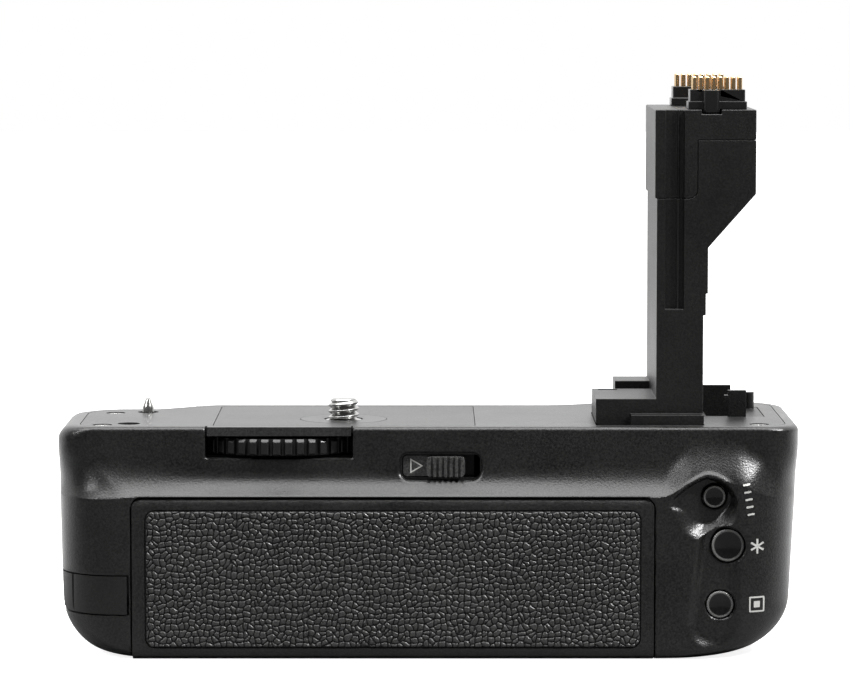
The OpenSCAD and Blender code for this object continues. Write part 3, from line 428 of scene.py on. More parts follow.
rear_hollow = closed_loft("hollow", plain_rings(
    lambda z: past_split(rear_ring(z, wall, plain_x, 8, 1, True), split_y + 3), plain_z))
seat_stations = np.concatenate([0.82 * np.arange(11) / 11, 0.82 + 0.18 * np.arange(15) / 14])
seat_steps = 6
rim = past_split(rear_ring(seat_z, rim_width, seat_stations, seat_steps, 12, False), split_y + 3)
rear_opening = along_z("opening", rim, plate_under - 0.2, seat_z + 3)
bush = middle_mm("tripod_bush")
tongue_x = [box_mm("housing_screws")[0][0] + 2.4, box_mm("housing_screws")[1][0] - 2.4]
tongue_y = middle_mm("housing_screws")[1]
power = middle_mm("power_switch")
power_z = box_mm("power_switch")[0][2] + 5
power_x = box_mm("power_switch")[1][0] + 0.25
power_deep = 1.8
power_rect = rounded_rect(power[1] - 3.5, power[1] + 3.5, power_z - 6, power_z + 6, 1.5)
power_seat = np.array([[power_x - power_deep, y, z] for y, z in power_rect])
behind = -60
shape_with(rear_shell, "DIFFERENCE", rear_hollow, rear_opening)
shape_with(
    rear_shell, "DIFFERENCE",
    along_y("mouth", rounded_rect(*mouth), behind, rear_plane + 3.2),
    along_y("wheel", rounded_rect(*wheel_slot), behind, shelf_plane + 6),
    along_y("field", rounded_rect(*field), behind, shelf_plane + 0.8),
    along_y("window", rounded_rect(*window), behind, shelf_plane + 5),
    *[along_y(name, circle(middle_mm(name)[0], middle_mm(name)[2], radius + button_play), behind, -20)
      for name, radius in button_sizes.items()],
    along_y("socket", circle(-half_width + 10.2, cover_z, 2.6), behind, rear_plane + 6.7),
    along_z("bush", circle(bush[0], bush[1], 5), -1, 5.1),
    *[along_z("screw", circle(x, tongue_y, 2.7), -1, 1.1) for x in tongue_x],
    closed_loft("power", np.stack([power_seat, power_seat + [8, 0, 0]])),
    block("stem", (power_x - 8, power[1] - 1.1, power_z - 3.8),
          (half_width + 1, power[1] + 1.1, power_z + 3.8)),
)


def bay_ribs(y0, y1):
    """Rails under the magazine and guide walls beside it."""
    centre = (mouth[0] + mouth[1]) / 2
    tray_low = box_mm("magazine_tray")[0][2]
    ribs = [block("rail", (centre + x - 0.8, y0, floor - 0.6), (centre + x + 0.8, y1, tray_low - 0.1))
            for x in (-47, -20, 20, 47)]
    for x0, x1 in ((mouth[0] - 1.25, mouth[0] - 0.05), (mouth[1] + 0.05, mouth[1] + 1.25)):
        ribs.append(block("guide", (x0, y0, floor - 0.6), (x1, y1, door_top - 1.5)))
    return ribs


shape_with(rear_shell, "UNION", *bay_ribs(rear_plane + 3.4, split_y - split_gap))
smooth(rear_shell)


def add_node(tree, kind, **values):
    """A node with its settings, and its inputs where a name of the values is an input's."""
    node = tree.nodes.new(kind)
    for name, value in values.items():
        label = name.replace("_", " ")
        if label in node.inputs:
            node.inputs[label].default_value = value
        else:
            setattr(node, name, value)
    return node


def mould_grain_group():
    """Fine spark-eroded grain with soft patches of handling shine, as a group of shader nodes."""
    group = bpy.data.node_groups.new("mould_grain", "ShaderNodeTree")
    for label in ("Grains per metre", "Roughness", "Shine spread"):
        group.interface.new_socket(label, in_out="INPUT", socket_type="NodeSocketFloat")
    for label in ("Height", "Roughness", "Tint"):
        group.interface.new_socket(label, in_out="OUTPUT", socket_type="NodeSocketFloat")
    given = add_node(group, "NodeGroupInput")
    out = add_node(group, "NodeGroupOutput")
    place = add_node(group, "ShaderNodeTexCoord")
    grain = add_node(group, "ShaderNodeTexNoise", Detail=2.0, Roughness=0.6)
    patch = add_node(group, "ShaderNodeTexNoise", Scale=70.0, Detail=4.0, Roughness=0.55)
    speckle = add_node(group, "ShaderNodeMix", data_type="FLOAT", Factor=0.75)
    low = add_node(group, "ShaderNodeMath", operation="SUBTRACT")
    low.inputs[1].default_value = 0.5
    spread = add_node(group, "ShaderNodeMath", operation="MULTIPLY")
    total = add_node(group, "ShaderNodeMath", operation="ADD")
    link = group.links.new
    link(place.outputs["Object"], grain.inputs["Vector"])
    link(place.outputs["Object"], patch.inputs["Vector"])
    link(given.outputs["Grains per metre"], grain.inputs["Scale"])
    link(patch.outputs["Fac"], low.inputs[0])
    link(low.outputs[0], spread.inputs[0])
    link(given.outputs["Shine spread"], spread.inputs[1])
    link(spread.outputs[0], total.inputs[0])
    link(given.outputs["Roughness"], total.inputs[1])
    link(grain.outputs["Fac"], out.inputs["Height"])
    link(total.outputs[0], out.inputs["Roughness"])
    link(patch.outputs["Fac"], speckle.inputs[2])
    link(grain.outputs["Fac"], speckle.inputs[3])
    link(speckle.outputs[0], out.inputs["Tint"])
    return group


mould_grain = mould_grain_group()


def grained(name, dark, light, roughness, grains, depth, spread=0.12, strength=0.5):
    """A moulded finish: a colour between dark and light, grain depth in mm, and a roughness."""
    material = bpy.data.materials.new(name)
    material.use_nodes = True
    tree = material.node_tree
    shader = tree.nodes["Principled BSDF"]
    finish = add_node(tree, "ShaderNodeGroup", node_tree=mould_grain,
                      Grains_per_metre=grains, Roughness=roughness, Shine_spread=spread)
    colours = add_node(tree, "ShaderNodeValToRGB")
    colours.color_ramp.elements[0].position = 0.36
    colours.color_ramp.elements[0].color = (*dark, 1)
    colours.color_ramp.elements[1].position = 0.64
    colours.color_ramp.elements[1].color = (*light, 1)
    bump = add_node(tree, "ShaderNodeBump", Strength=strength, Distance=depth * MM)
    tree.links.new(finish.outputs["Tint"], colours.inputs["Fac"])
    tree.links.new(colours.outputs["Color"], shader.inputs["Base Color"])
    tree.links.new(finish.outputs["Roughness"], shader.inputs["Roughness"])
    tree.links.new(finish.outputs["Height"], bump.inputs["Height"])
    tree.links.new(bump.outputs["Normal"], shader.inputs["Normal"])
    return material


housing_black = grained(
    "housing_black", (0.001, 0.001, 0.001), (0.02, 0.02, 0.0195), 0.3, 2500, 0.055, strength=1)


def wear(piece, material):
    piece.data.materials.clear()
    piece.data.materials.append(material)


wear(rear_shell, housing_black)
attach(rear_shell, "housing")
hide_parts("rear_shell")

# Front shell: the other half of the housing, with the finger bulge, the field for the leatherette,
# the shutter button's corner, the dial's scoop and the strap recess. Same grained black plastic.
shutter_z = middle_mm("shutter_button")[2]
shutter_at = np.array([right_wall(shutter_z) - 17.6, front_plane - 18, shutter_z])
shutter_way = np.array([1, 1, 0]) / math.sqrt(2)
front_field = (*box_mm("front_skin")[0][[0, 2]], *box_mm("front_skin")[1][[0, 2]])


def front_ring(z, inset, stations, arc_steps, end_steps):
    """One level of the front half: points from the right split round the front face to the left split."""
    radius_r = 10 + 8 * bulge(z)
    x0, y0, r0 = front_corner(z, inset)
    x1, r1 = right_x(z) - radius_r, max(1, radius_r - inset)
    xs = x0 + (x1 - x0) * stations[::-1]
    ys = front_y(xs, z) - inset
    turn = np.radians(np.linspace(0, 90, arc_steps + 1))[:-1]
    right = polar(x1, ys[0] - r1, r1, turn)
    past = np.clip((split_y + split_gap + 0.6 - y0) / r0, 0, 1)
    turn = np.linspace(math.pi / 2, math.pi - math.asin(past), arc_steps + 1)[1:]
    left = polar(x0, y0, r0, turn)
    steps = np.linspace(0, 1, end_steps + 1)[:-1, None] ** 2
    right_split = np.array([right[0][0], split_y + split_gap])
    left_split = np.array([left_edge(split_y + split_gap, z, inset), split_y + split_gap])
    right_end = right_split + (right[0] - right_split) * steps
    left_end = left_split + (left[-1] - left_split) * steps
    return np.concatenate([right_end, right, np.stack([xs, ys], 1), left, left_end[::-1]])


def front_marks(ring, z):
    """Depth of the sunk field that the leatherette is glued into, and of the seam's rolled edge."""
    x0, z0, x1, z1 = front_field
    inside = -rect_distance(ring[:, 0], z, x0 - 0.15, x1 + 0.15, z0 - 0.15, z1 + 0.15, 0.6)
    field_in = 0.95 * np.clip(inside / 0.15, 0, 1) * (ring[:, 1] > split_y + 8)
    return np.maximum(field_in, round_in(seam_round, ring[:, 1] - split_y - split_gap))


turn_steps = 64


def turned(name, at, way, profile):
    """A piece turned about a level axis, from pairs of a radius and a distance along the axis."""
    way = np.array(way, float)
    side = np.cross(way, (0, 0, 1))
    up = np.cross(way, side)
    turn = np.linspace(0, 2 * math.pi, turn_steps, endpoint=False)[:, None]
    around = np.cos(turn) * side + np.sin(turn) * up
    rings = [np.array(at) + radius * around + way * far for radius, far in profile]
    return closed_loft(name, np.stack(rings))


def ball(name, at, radius, steps=96):
    """A sphere of rings."""
    rings = []
    for tilt in np.radians(np.linspace(-89.5, 89.5, steps)):
        ring = circle(at[0], at[1], radius * math.cos(tilt), steps)
        rings.append(at_height(ring, at[2] + radius * math.sin(tilt)))
    return closed_loft(name, np.stack(rings))


front_z = np.concatenate([np.linspace(0, 8, 26)[:-1], np.linspace(8, seat_z - 1.1, 110)[:-1],
                          np.linspace(seat_z - 1.1, seat_z, 8)])
front_shell = closed_loft("front_housing", housing_rings(
    lambda z: front_ring(z, 0, np.linspace(0, 1, 320), 36, 20), front_z, front_marks))
front_hollow = closed_loft("hollow", plain_rings(
    lambda z: past_split(front_ring(z, wall, plain_x, 8, 1), split_y - 3), plain_z))
rim = past_split(front_ring(seat_z, rim_width, seat_stations, seat_steps, 1), split_y - 3)
shape_with(front_shell, "DIFFERENCE", front_hollow, along_z("opening", rim, plate_under - 0.2, seat_z + 3))
bar = middle_mm("strap_bar")
dial = middle_mm("control_dial")
thick_low, thick_high = (dial[0] + 3, dial[1] - 9.5, 11.6), (half_width, dial[1] + 6.1, 31)
strap_low, strap_high = (bar[0] - 7.2, bar[1] - 7.1, 0), (half_width, bar[1] + 7.9, 11.8)
pads = block("pads", thick_low, thick_high)
shape_with(pads, "UNION", block("strap", strap_low, strap_high),
           turned("boss", shutter_at, shutter_way, [(9, 12.6), (9, 16.8)]))
kept = closed_loft("kept", plain_rings(
    lambda z: past_split(front_ring(z, 0.9, plain_x, 10, 1), split_y), np.concatenate([[0.8], plain_z])))
shape_with(pads, "INTERSECT", kept)
shape_with(front_shell, "UNION", pads)
dial_radius = (box_mm("control_dial")[1][2] - box_mm("control_dial")[0][2]) / 2
dial_wide = box_mm("control_dial")[1][1] - box_mm("control_dial")[0][1]
dial_play = 0.4
dial_room = dial_radius + dial_play
dial_half = dial_wide / 2 + dial_play
shape_with(
    front_shell, "DIFFERENCE",
    turned("collar", shutter_at, shutter_way, [(7.5, 16.2), (7.5, 24.2)]),
    turned("hole", shutter_at, shutter_way, [(5.4, 8), (5.4, 28)]),
    ball("scoop", (dial[0] + dial_radius + 19.8, dial[1], dial[2]), 22),
    turned("dial", dial, (0, 1, 0), [(dial_room, -dial_half), (dial_room, dial_half)]),
    block("strap", (bar[0] - 5.6, bar[1] - 5.7, -2), (half_width + 15, bar[1] + 6.3, 10.2)),
)
shape_with(front_shell, "UNION", *bay_ribs(split_y + split_gap, 25.5))
smooth(front_shell)
wear(front_shell, housing_black)
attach(front_shell, "housing")
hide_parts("front_shell")

# Inside pieces: the drive frame, boards, terminals and screws that the shells close over. They are
# plain mouldings, green boards and turned steel, and show only through the magazine mouth.


def rounded(node, width, material, angle=30):
    """Gives a CAD node small round edges, smooth faces and a finish."""
    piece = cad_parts[node]
    normals = piece.data.attributes.get("custom_normal")
    if normals:
        piece.data.attributes.remove(normals)
    piece.data.shade_smooth()
    join = piece.modifiers.new("join", "WELD")
    join.merge_threshold = 0.002 * MM
    plain = piece.modifiers.new("plain", "DECIMATE")
    plain.decimate_type = "DISSOLVE"
    plain.angle_limit = math.radians(0.6)
    edge = piece.modifiers.new("edge", "BEVEL")
    edge.width = width * MM
    edge.segments = 2
    edge.limit_method = "ANGLE"
    edge.angle_limit = math.radians(angle)
    edge.harden_normals = True
    wear(piece, material)


inner_black = grained("inner_black", (0.012, 0.012, 0.012), (0.018, 0.018, 0.018), 0.55, 2500, 0.02)
board_green = grained("board_green", (0.012, 0.06, 0.03), (0.02, 0.085, 0.045), 0.35, 1500, 0.01)


def steel_finish(name, colour, roughness):
    """Turned metal with a very fine surface and a faint bloom."""
    dark = tuple(0.9 * c for c in colour)
    material = grained(name, dark, colour, roughness, 5000, 0.006, spread=0.1, strength=0.4)
    material.node_tree.nodes["Principled BSDF"].inputs["Metallic"].default_value = 1
    return material


turned_steel = steel_finish("turned_steel", (0.42, 0.42, 0.41), 0.26)
blued_steel = steel_finish("blued_steel", (0.02, 0.02, 0.022), 0.4)
brass_gold = steel_finish("brass_gold", (0.83, 0.6, 0.34), 0.22)
for inner in ("drive_frame", "dial_bracket", "terminal_block"):
    rounded(inner, 0.2, inner_black)
for board in ("main_board", "button_board"):
    rounded(board, 0.1, board_green)
for fixing in ("housing_screws", "top_screws", "frame_screws", "screw_clip", "latch_bolt", "dial_axle",
               "button_domes", "shutter_switch", "tripod_bush", "strap_bar", "locating_pin"):
    rounded(fixing, 0.12, blued_steel if fixing == "latch_bolt" else turned_steel)

# Thumbwheel and attachment screw: the wheel is a ribbed ring of glossy black plastic that turns the
# screw through teeth inside it. The screw is turned steel with a camera thread.
wheel_black = grained("wheel_black", (0.008, 0.008, 0.008), (0.013, 0.013, 0.013), 0.3, 2500, 0.015)
wheel_radius = (wheel_high[0] - wheel_low[0]) / 2
wheel_ribs = 54
ring_teeth = 48
tooth_middle = 17.45
tooth_depth = 0.57
bore_r = 16.33
tooth_z = wheel_high[2] - 1.6
screw_low, screw_high = box_mm("attachment_screw")
screw_middle = middle_mm("attachment_screw")
mesh_turn = math.atan2(screw_middle[1] - wheel_middle[1], screw_middle[0] - wheel_middle[0])
rib_shares = np.array([-0.3, -0.24, 0.24, 0.3, 0.36, 0.42, 0.58, 0.64])
rib_depths = np.array([0.12, 0, 0, 0.12, 0.78, 0.9, 0.9, 0.78])
rib_places = np.add.outer(np.arange(wheel_ribs), rib_shares).reshape(-1)
rib_turn = mesh_turn + rib_places * 2 * math.pi / wheel_ribs
rib_radius = wheel_radius - np.tile(rib_depths, wheel_ribs)


def wheel_ring(chamfer, z):
    """One level of the wheel's ribbed outside, cut back by a chamfer."""
    radius = np.minimum(rib_radius, wheel_radius - chamfer)
    return at_height(polar(*wheel_middle[:2], radius, rib_turn), z)


wheel_levels = [(0.4, wheel_low[2]), (0.1, wheel_low[2] + 0.25), (0, wheel_low[2] + 0.45),
                (0, wheel_high[2] - 0.65), (0.12, wheel_high[2] - 0.4), (0.55, wheel_high[2])]
thumbwheel = closed_loft("ribbed_wheel", np.stack([wheel_ring(cut, z) for cut, z in wheel_levels]))
tooth_turn = np.linspace(0, 2 * math.pi, ring_teeth * 12, endpoint=False)
tooth_shape = np.clip(1.8 * np.cos(ring_teeth * (tooth_turn - mesh_turn)), -1, 1)
tooth_wave = tooth_middle + tooth_depth * tooth_shape
tooth_outline = polar(*wheel_middle[:2], tooth_wave, tooth_turn)
shape_with(thumbwheel, "DIFFERENCE",
           along_z("bore", circle(*wheel_middle[:2], bore_r, 96), wheel_low[2] - 1, wheel_high[2] + 1),
           along_z("teeth", tooth_outline, tooth_z, wheel_high[2] + 1))
smooth(thumbwheel, 25)
wear(thumbwheel, wheel_black)
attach(thumbwheel, "thumbwheel")
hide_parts("thumbwheel")
thread_pitch = 1.27
thread_r = 3.1
thread_depth = 0.62
thread_steps = 72


def thread_radius(turn, z):
    """Radius of the threaded shank, with a rounded crest and a chamfer at its top."""
    phase = (z / thread_pitch - turn / (2 * math.pi)) % 1
    ridge = np.clip(1.25 - 2.6 * np.abs(phase - 0.5), 0, 1)
    top = np.clip((screw_high[2] - z) / 0.7, 0, 1)
    crest = thread_r - 0.7 * (1 - top)
    return np.minimum(thread_r - thread_depth + thread_depth * ridge, crest)


screw_turn = np.linspace(0, 2 * math.pi, thread_steps, endpoint=False)
collar_z = seat_z - 0.1
pinion_low = wheel_high[2] - 1.5
pinion_teeth = 12
pinion_wave = 4.3 + 0.5 * np.clip(1.6 * np.cos(pinion_teeth * (screw_turn - mesh_turn)), -1, 1)
flange_r = 5.5
collar_r = 3.7
screw_levels = [(thread_r, screw_low[2]), (thread_r, pinion_low), (pinion_wave, pinion_low + 0.01),
                (pinion_wave, pinion_low + 1.4), (flange_r, pinion_low + 1.65),
                (flange_r, plate_under - 0.1), (collar_r, plate_under - 0.09),
                (collar_r, collar_z - 0.15), (collar_r - 0.15, collar_z)]
for z in np.linspace(collar_z + 0.01, screw_high[2], 84):
    screw_levels.append((thread_radius(screw_turn, z), z))
screw_rings = [at_height(polar(*screw_middle[:2], radius, screw_turn), z) for radius, z in screw_levels]
attachment_screw = closed_loft("camera_screw", np.stack(screw_rings))
smooth(attachment_screw, 50)
wear(attachment_screw, turned_steel)
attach(attachment_screw, "screw")
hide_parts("attachment_screw")

# Camera seat: the top plate that closes the shells, and the thin pad set into it. Both are dark
# moulded plates that mirror the light at a low angle.
seat_grey = grained("seat_grey", (0.004, 0.004, 0.004), (0.04, 0.04, 0.04), 0.36, 2500, 0.07, strength=0.8)
pad_grey = grained("pad_grey", (0.006, 0.006, 0.006), (0.05, 0.05, 0.05), 0.4, 2500, 0.07, strength=0.8)
rounded("top_plate", 0.18, seat_grey)
rounded("seat_pad", 0.12, pad_grey)

# Contact tower: a column moulded with the head that reaches into the camera, a bolted cap, two plugs
# with gold-coloured brass pins, and the holder for the camera's own battery door.
tower_black = grained(
    "tower_black", (0.0005, 0.0005, 0.0005), (0.01, 0.01, 0.0095), 0.4, 2500, 0.07, strength=1)
plug_black = grained("plug_black", (0.006, 0.006, 0.006), (0.009, 0.009, 0.009), 0.3, 2000, 0.008)
rounded("tower_body", 0.3, tower_black)
rounded("tower_cap", 0.3, tower_black)
rounded("door_holder", 0.25, tower_black)
rounded("rear_plug", 0.15, plug_black)
rounded("front_plug", 0.15, plug_black)
rounded("plug_pins", 0.05, brass_gold)

# Magazine: a tray that slides out of the rear with two packs and brass contacts, and the door that
# closes the mouth. The door's field is covered in pebbled leatherette.
pack_grey = grained("pack_grey", (0.02, 0.02, 0.021), (0.03, 0.03, 0.031), 0.4, 2200, 0.015)
rounded("magazine_tray", 0.25, inner_black)
rounded("left_pack", 0.5, pack_grey)
rounded("right_pack", 0.5, pack_grey)
rounded("pack_contacts", 0.1, brass_gold)
rounded("magazine_contacts", 0.08, brass_gold)
rounded("magazine_door", 0.25, housing_black)

pebble_size = 1.2
pebble_high = 0.4
grid_warp = 0.16
crease_wide = 0.45


def pebbles(u, v, seed):
    """Height from 0 to 1 of raised grains, one in each cell of a bent grid, with creases between."""
    u_cell = (u + grid_warp * np.sin(1.9 * v + 1.4 * np.sin(0.8 * u))) / pebble_size
    v_cell = (v + grid_warp * np.sin(1.6 * u + 1.2 * np.sin(0.9 * v))) / pebble_size
    u_first = np.floor(u_cell).min() - 2
    v_first = np.floor(v_cell).min() - 2
    column = (np.floor(u_cell) - u_first).astype(int)
    row = (np.floor(v_cell) - v_first).astype(int)
    shaken = np.random.default_rng(seed).random((column.max() + 4, row.max() + 4, 2))
    near = np.full(u.shape, 9.0)
    second = np.full(u.shape, 9.0)
    for di in (-2, -1, 0, 1, 2):
        for dj in (-2, -1, 0, 1, 2):
            i, j = column + di, row + dj
            at = shaken[i, j]
            off_u = u_first + i + 0.1 + 0.8 * at[..., 0] - u_cell
            off_v = v_first + j + 0.1 + 0.8 * at[..., 1] - v_cell
            away = np.hypot(off_u, off_v)
            second = np.minimum(second, np.maximum(near, away))
            near = np.minimum(near, away)
    crease = np.clip((second - near) / crease_wide, 0, 1)
    return (1 - (1 - crease) ** 2) * np.sqrt(np.clip(1 - (near / 1.1) ** 2, 0, 1))


def point_values(piece, name, values):
    """Gives each point of a piece a value that its material can read."""
    piece.data.attributes.new(name, "FLOAT", "POINT")
    piece.data.attributes[name].data.foreach_set("value", values)


def leatherette(name, place, u_range, v_range, corner, seed, step=0.12):
    """A glued sheet of pebbled leatherette. place maps u, v and a height in mm to points in mm."""
    u0, u1 = u_range
    v0, v1 = v_range
    rows = np.linspace(v0, v1, int((v1 - v0) / step))
    count = int((u1 - u0) / step)
    inset = round_in(corner, np.minimum(rows - v0, v1 - rows))
    across = np.linspace(0, 1, count)
    u = (u0 + inset)[:, None] + (u1 - u0 - 2 * inset)[:, None] * across
    v = np.repeat(rows[:, None], count, 1)
    edge = np.minimum.reduce([u - u0 - inset[:, None], u1 - inset[:, None] - u, v - v0, v1 - v])
    height = pebbles(u, v, seed) * pebble_high * ease(edge / 0.5) - 0.12 * (1 - ease(edge / 0.4))
    raised = np.clip(height / pebble_high, 0, 1).reshape(-1)
    top = place(u, v, height).reshape(-1, 3)
    index = np.arange(len(rows) * count).reshape(len(rows), count)
    quads = np.stack([index[:-1, :-1], index[:-1, 1:], index[1:, 1:], index[1:, :-1]], -1).reshape(-1, 4)
    loop = np.concatenate([index[0], index[1:, -1], index[-1, -2::-1], index[-2:0:-1, 0]])
    flat_height = np.full(u.shape, -0.55)
    under = place(u, v, flat_height).reshape(-1, 3)[loop]
    first = len(top)
    below = first + np.arange(len(loop))
    skirt = np.stack([loop, below, np.roll(below, -1), np.roll(loop, -1)], 1)
    piece = new_piece(name, np.concatenate([top, under]),
                      quads.tolist() + skirt.tolist() + [below[::-1].tolist()])
    point_values(piece, "raised", np.concatenate([raised, np.zeros(len(loop))]))
    smooth(piece, 60)
    return piece


skin_black = grained("skin_black", (0.02, 0.02, 0.0195), (0.06, 0.06, 0.059), 0.27, 3000, 0.02)


def paint_crease_shade(material):
    """Paints shade into the creases between the pebbles as a near-black colour, and makes them dull."""
    tree = material.node_tree
    shader = tree.nodes["Principled BSDF"]
    raised = add_node(tree, "ShaderNodeAttribute", attribute_name="raised")
    mask = add_node(tree, "ShaderNodeValToRGB")
    mask.color_ramp.elements[0].position = 0.15
    mask.color_ramp.elements[1].position = 0.75
    colour = add_node(tree, "ShaderNodeMix", data_type="RGBA")
    # Painted shade: the creases between the pebbles get a near-black colour.
    colour.inputs["A"].default_value = (0.002, 0.002, 0.002, 1)
    dull = add_node(tree, "ShaderNodeMix", data_type="FLOAT")
    dull.inputs[2].default_value = 0.85
    for name, mix, at in (("Base Color", colour, 7), ("Roughness", dull, 3)):
        source = shader.inputs[name].links[0].from_socket
        tree.links.new(source, mix.inputs[at])
        tree.links.new(mask.outputs["Color"], mix.inputs[0])
        tree.links.new(mix.outputs[2 if mix is colour else 0], shader.inputs[name])
    tree.links.new(raised.outputs["Fac"], mask.inputs["Fac"])


paint_crease_shade(skin_black)
skin_base = skin_low[1] + pebble_high
door_skin = leatherette(
    "door_leatherette", lambda u, v, h: np.stack([u, skin_base - h, v], -1),
    (skin_low[0], skin_high[0]), (skin_low[2], skin_high[2]), 2, 11)
wear(door_skin, skin_black)
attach(door_skin, "magazine")
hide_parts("door_skin")


def on_bulge(u, v, h):
    """A point of the front leatherette, pressed on the finger bulge."""
    return np.stack([u, front_plane - round_in(front_foot, v) - pebble_high + h, v], -1)


x0, z0, x1, z1 = front_field
front_skin = leatherette("front_leatherette", on_bulge, (-x1, -x0), (z0, z1), 0.6, 23)
front_skin.data.transform(((-1, 0, 0, 0), (0, 1, 0, 0), (0, 0, 1, 0), (0, 0, 0, 1)))
front_skin.data.flip_normals()
wear(front_skin, skin_black)
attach(front_skin, "housing")
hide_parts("front_skin")

# Release slider: a plate in a sunk field with a ribbed knob and a plain pointer that shows which way
# it goes. A steel bolt behind it locks the magazine.
slider_black = grained(
    "slider_black", (0.025, 0.025, 0.025), (0.085, 0.085, 0.083), 0.26, 2200, 0.02)
rounded("release_slider", 0.18, slider_black)
mark_white = grained("mark_white", (0.55, 0.55, 0.53), (0.62, 0.62, 0.6), 0.5, 2500, 0.01)


def dense(loop, pieces=5):
    """A loop with each of its edges cut into pieces, so that it can follow a curved face."""
    after = np.roll(loop, -1, axis=0)
    return np.concatenate([[a + (b - a) * k / pieces for k in range(pieces)] for a, b in zip(loop, after)])


def grown(loop, share):
    """A loop drawn larger or smaller about its middle."""
    centre = loop.mean(axis=0)
    return centre + (loop - centre) * share


ink_thick = 0.03
ink_sunk = 0.05


def print_on(name, loop, share, surface, body):
    """A printed mark: a band from a loop of X and Z points in to a share of it, laid on a surface."""
    count = len(loop)
    outline = np.concatenate([loop, grown(loop, share)])
    x, z = outline.T
    front = np.stack([x, surface(x, z) - ink_thick, z], 1)
    back = front + [0, ink_thick + ink_sunk, 0]
    i = np.arange(count)
    j = (i + 1) % count
    k = 2 * count
    faces = [(i, j, count + j, count + i), (k + j, k + i, k + count + i, k + count + j),
             (j, i, k + i, k + j), (count + i, count + j, k + count + j, k + count + i)]
    faces = np.concatenate([np.stack(corners, 1) for corners in faces])
    piece = new_piece(name, np.concatenate([front, back]), faces.tolist())
    wear(piece, mark_white)
    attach(piece, body)


def triangle(x, z, size):
    return polar(x, z, size, np.radians([0, 120, 240]))


plate_y = shelf_plane + 1
pointer_x = slider_low[0] + 2.3
pointer = dense(triangle(pointer_x, latch_z, 1.75))
print_on("slider_pointer", pointer, 0.72, lambda x, z: np.full(len(x), plate_y), "release")

# Thumb buttons: three buttons of glossy black plastic with hollowed faces and a painted highlight on
# the rounded rims, in the thumb pocket, with plain printed marks on the housing beside them.
button_black = grained("button_black", (0.003, 0.003, 0.003), (0.006, 0.006, 0.006), 0.16, 1800, 0.006)
button_flange = 0.9
flange_thick = 0.6
rim_round = 0.4
rim_back = 0.25
rim_highlight_width = 0.1
dish_deep = 0.35


def paint_rim_highlight(material):
    """Paints a highlight on the rounded edge: a lighter colour where the rim attribute says so."""
    tree = material.node_tree
    shader = tree.nodes["Principled BSDF"]
    rim_highlight_mask = add_node(tree, "ShaderNodeAttribute", attribute_name="rim")
    colour = add_node(tree, "ShaderNodeMix", data_type="RGBA")
    # Painted highlight: a light grey on the rounded rim stands in for its glint.
    colour.inputs[7].default_value = (0.22, 0.22, 0.215, 1)
    tree.links.new(rim_highlight_mask.outputs["Fac"], colour.inputs[0])
    tree.links.new(shader.inputs["Base Color"].links[0].from_socket, colour.inputs[6])
    tree.links.new(colour.outputs[2], shader.inputs["Base Color"])


paint_rim_highlight(button_black)
for name, radius in button_sizes.items():
    button_low, button_high = box_mm(name)
    tall = button_high[1] - button_low[1]
    rim_top = tall - rim_back
    face_r = radius - rim_round
    profile = [(radius + button_flange, 0), (radius + button_flange, flange_thick),
               (radius, flange_thick + 0.01)]
    for bend in np.radians(np.linspace(0, 90, 7)):
        rise = rim_top - rim_round + rim_round * math.sin(bend)
        profile.append((face_r + rim_round * math.cos(bend), rise))
    for share in (0.9, 0.75, 0.5, 0.25, 0.02):
        profile.append((face_r * share, rim_top - dish_deep * (1 - share * share)))
    at = (middle_mm(name)[0], button_high[1], middle_mm(name)[2])
    button = turned(name + "_cap", at, (0, -1, 0), profile)
    # Where the painted highlight lies: a band at the top of the rounded rim.
    rim_highlight_share = [max(0, 1 - ((far - rim_top + 0.05) / rim_highlight_width) ** 2) * (face - face_r > -0.01)
                 for face, far in profile]
    point_values(button, "rim", np.repeat(rim_highlight_share, turn_steps))
    smooth(button, 40)
    wear(button, button_black)
    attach(button, name)
    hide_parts(name)


def rear_surface(x, z):
    """Y of the housing's rear face, with its rounded right corner."""
    radius = rear_corners(z)[1]
    x1 = right_x(z) - radius
    over = np.clip(x - x1, 0, radius)
    return rear_y(x, z, False) + radius - np.sqrt(radius ** 2 - over ** 2)


def tilted(loop, degrees):
    centre = loop.mean(axis=0)
    turn = np.radians(degrees)
    spin = np.array([[math.cos(turn), -math.sin(turn)], [math.sin(turn), math.cos(turn)]])
    return centre + (loop - centre) @ spin.T


def star(x, z, radius, arms):
    """A star of straight arms, as its outline."""
    points = []
    for turn in np.arange(arms) * 2 * math.pi / arms:
        way = np.array([math.sin(turn), math.cos(turn)])
        side = np.array([way[1], -way[0]]) * 0.2
        notch = np.array([math.sin(turn + math.pi / arms), math.cos(turn + math.pi / arms)])
        points += [radius * way - side, radius * way + side, 0.4 * notch]
    return np.array(points)[::-1] + [x, z]


mark_x = button_x + 8.6
filled = 0.05
dash_lean = 9
dash_count = 5
dash_gap = 1.5
dash_low = 29.5
dash_middle = dash_low + dash_gap * (dash_count - 1) / 2
dash_half = (0.75, 0.2)
for number in range(dash_count):
    dash_z = dash_low + dash_gap * number
    dash_x = button_x + 6.8 - (dash_z - dash_middle) * math.tan(math.radians(dash_lean))
    dash = rounded_rect(dash_x - dash_half[0], dash_x + dash_half[0],
                        dash_z - dash_half[1], dash_z + dash_half[1], 0.15, 2)
    dash = dense(tilted(dash, dash_lean))
    print_on(f"upper_mark_{number}", dash, filled, rear_surface, "housing")
asterisk = dense(star(mark_x, middle_button[2] - 0.1, 1.5, 6))
print_on("middle_mark", asterisk, 0.04, rear_surface, "housing")
square_half = 1.6
square_z = lower_button[2] + 0.1
square = dense(rounded_rect(mark_x - square_half, mark_x + square_half,
                            square_z - square_half, square_z + square_half, 0.2, 2))
print_on("lower_mark", square, 0.8, rear_surface, "housing")
dot = grown(square, 0.4)
print_on("lower_mark_dot", dot, filled, rear_surface, "housing")

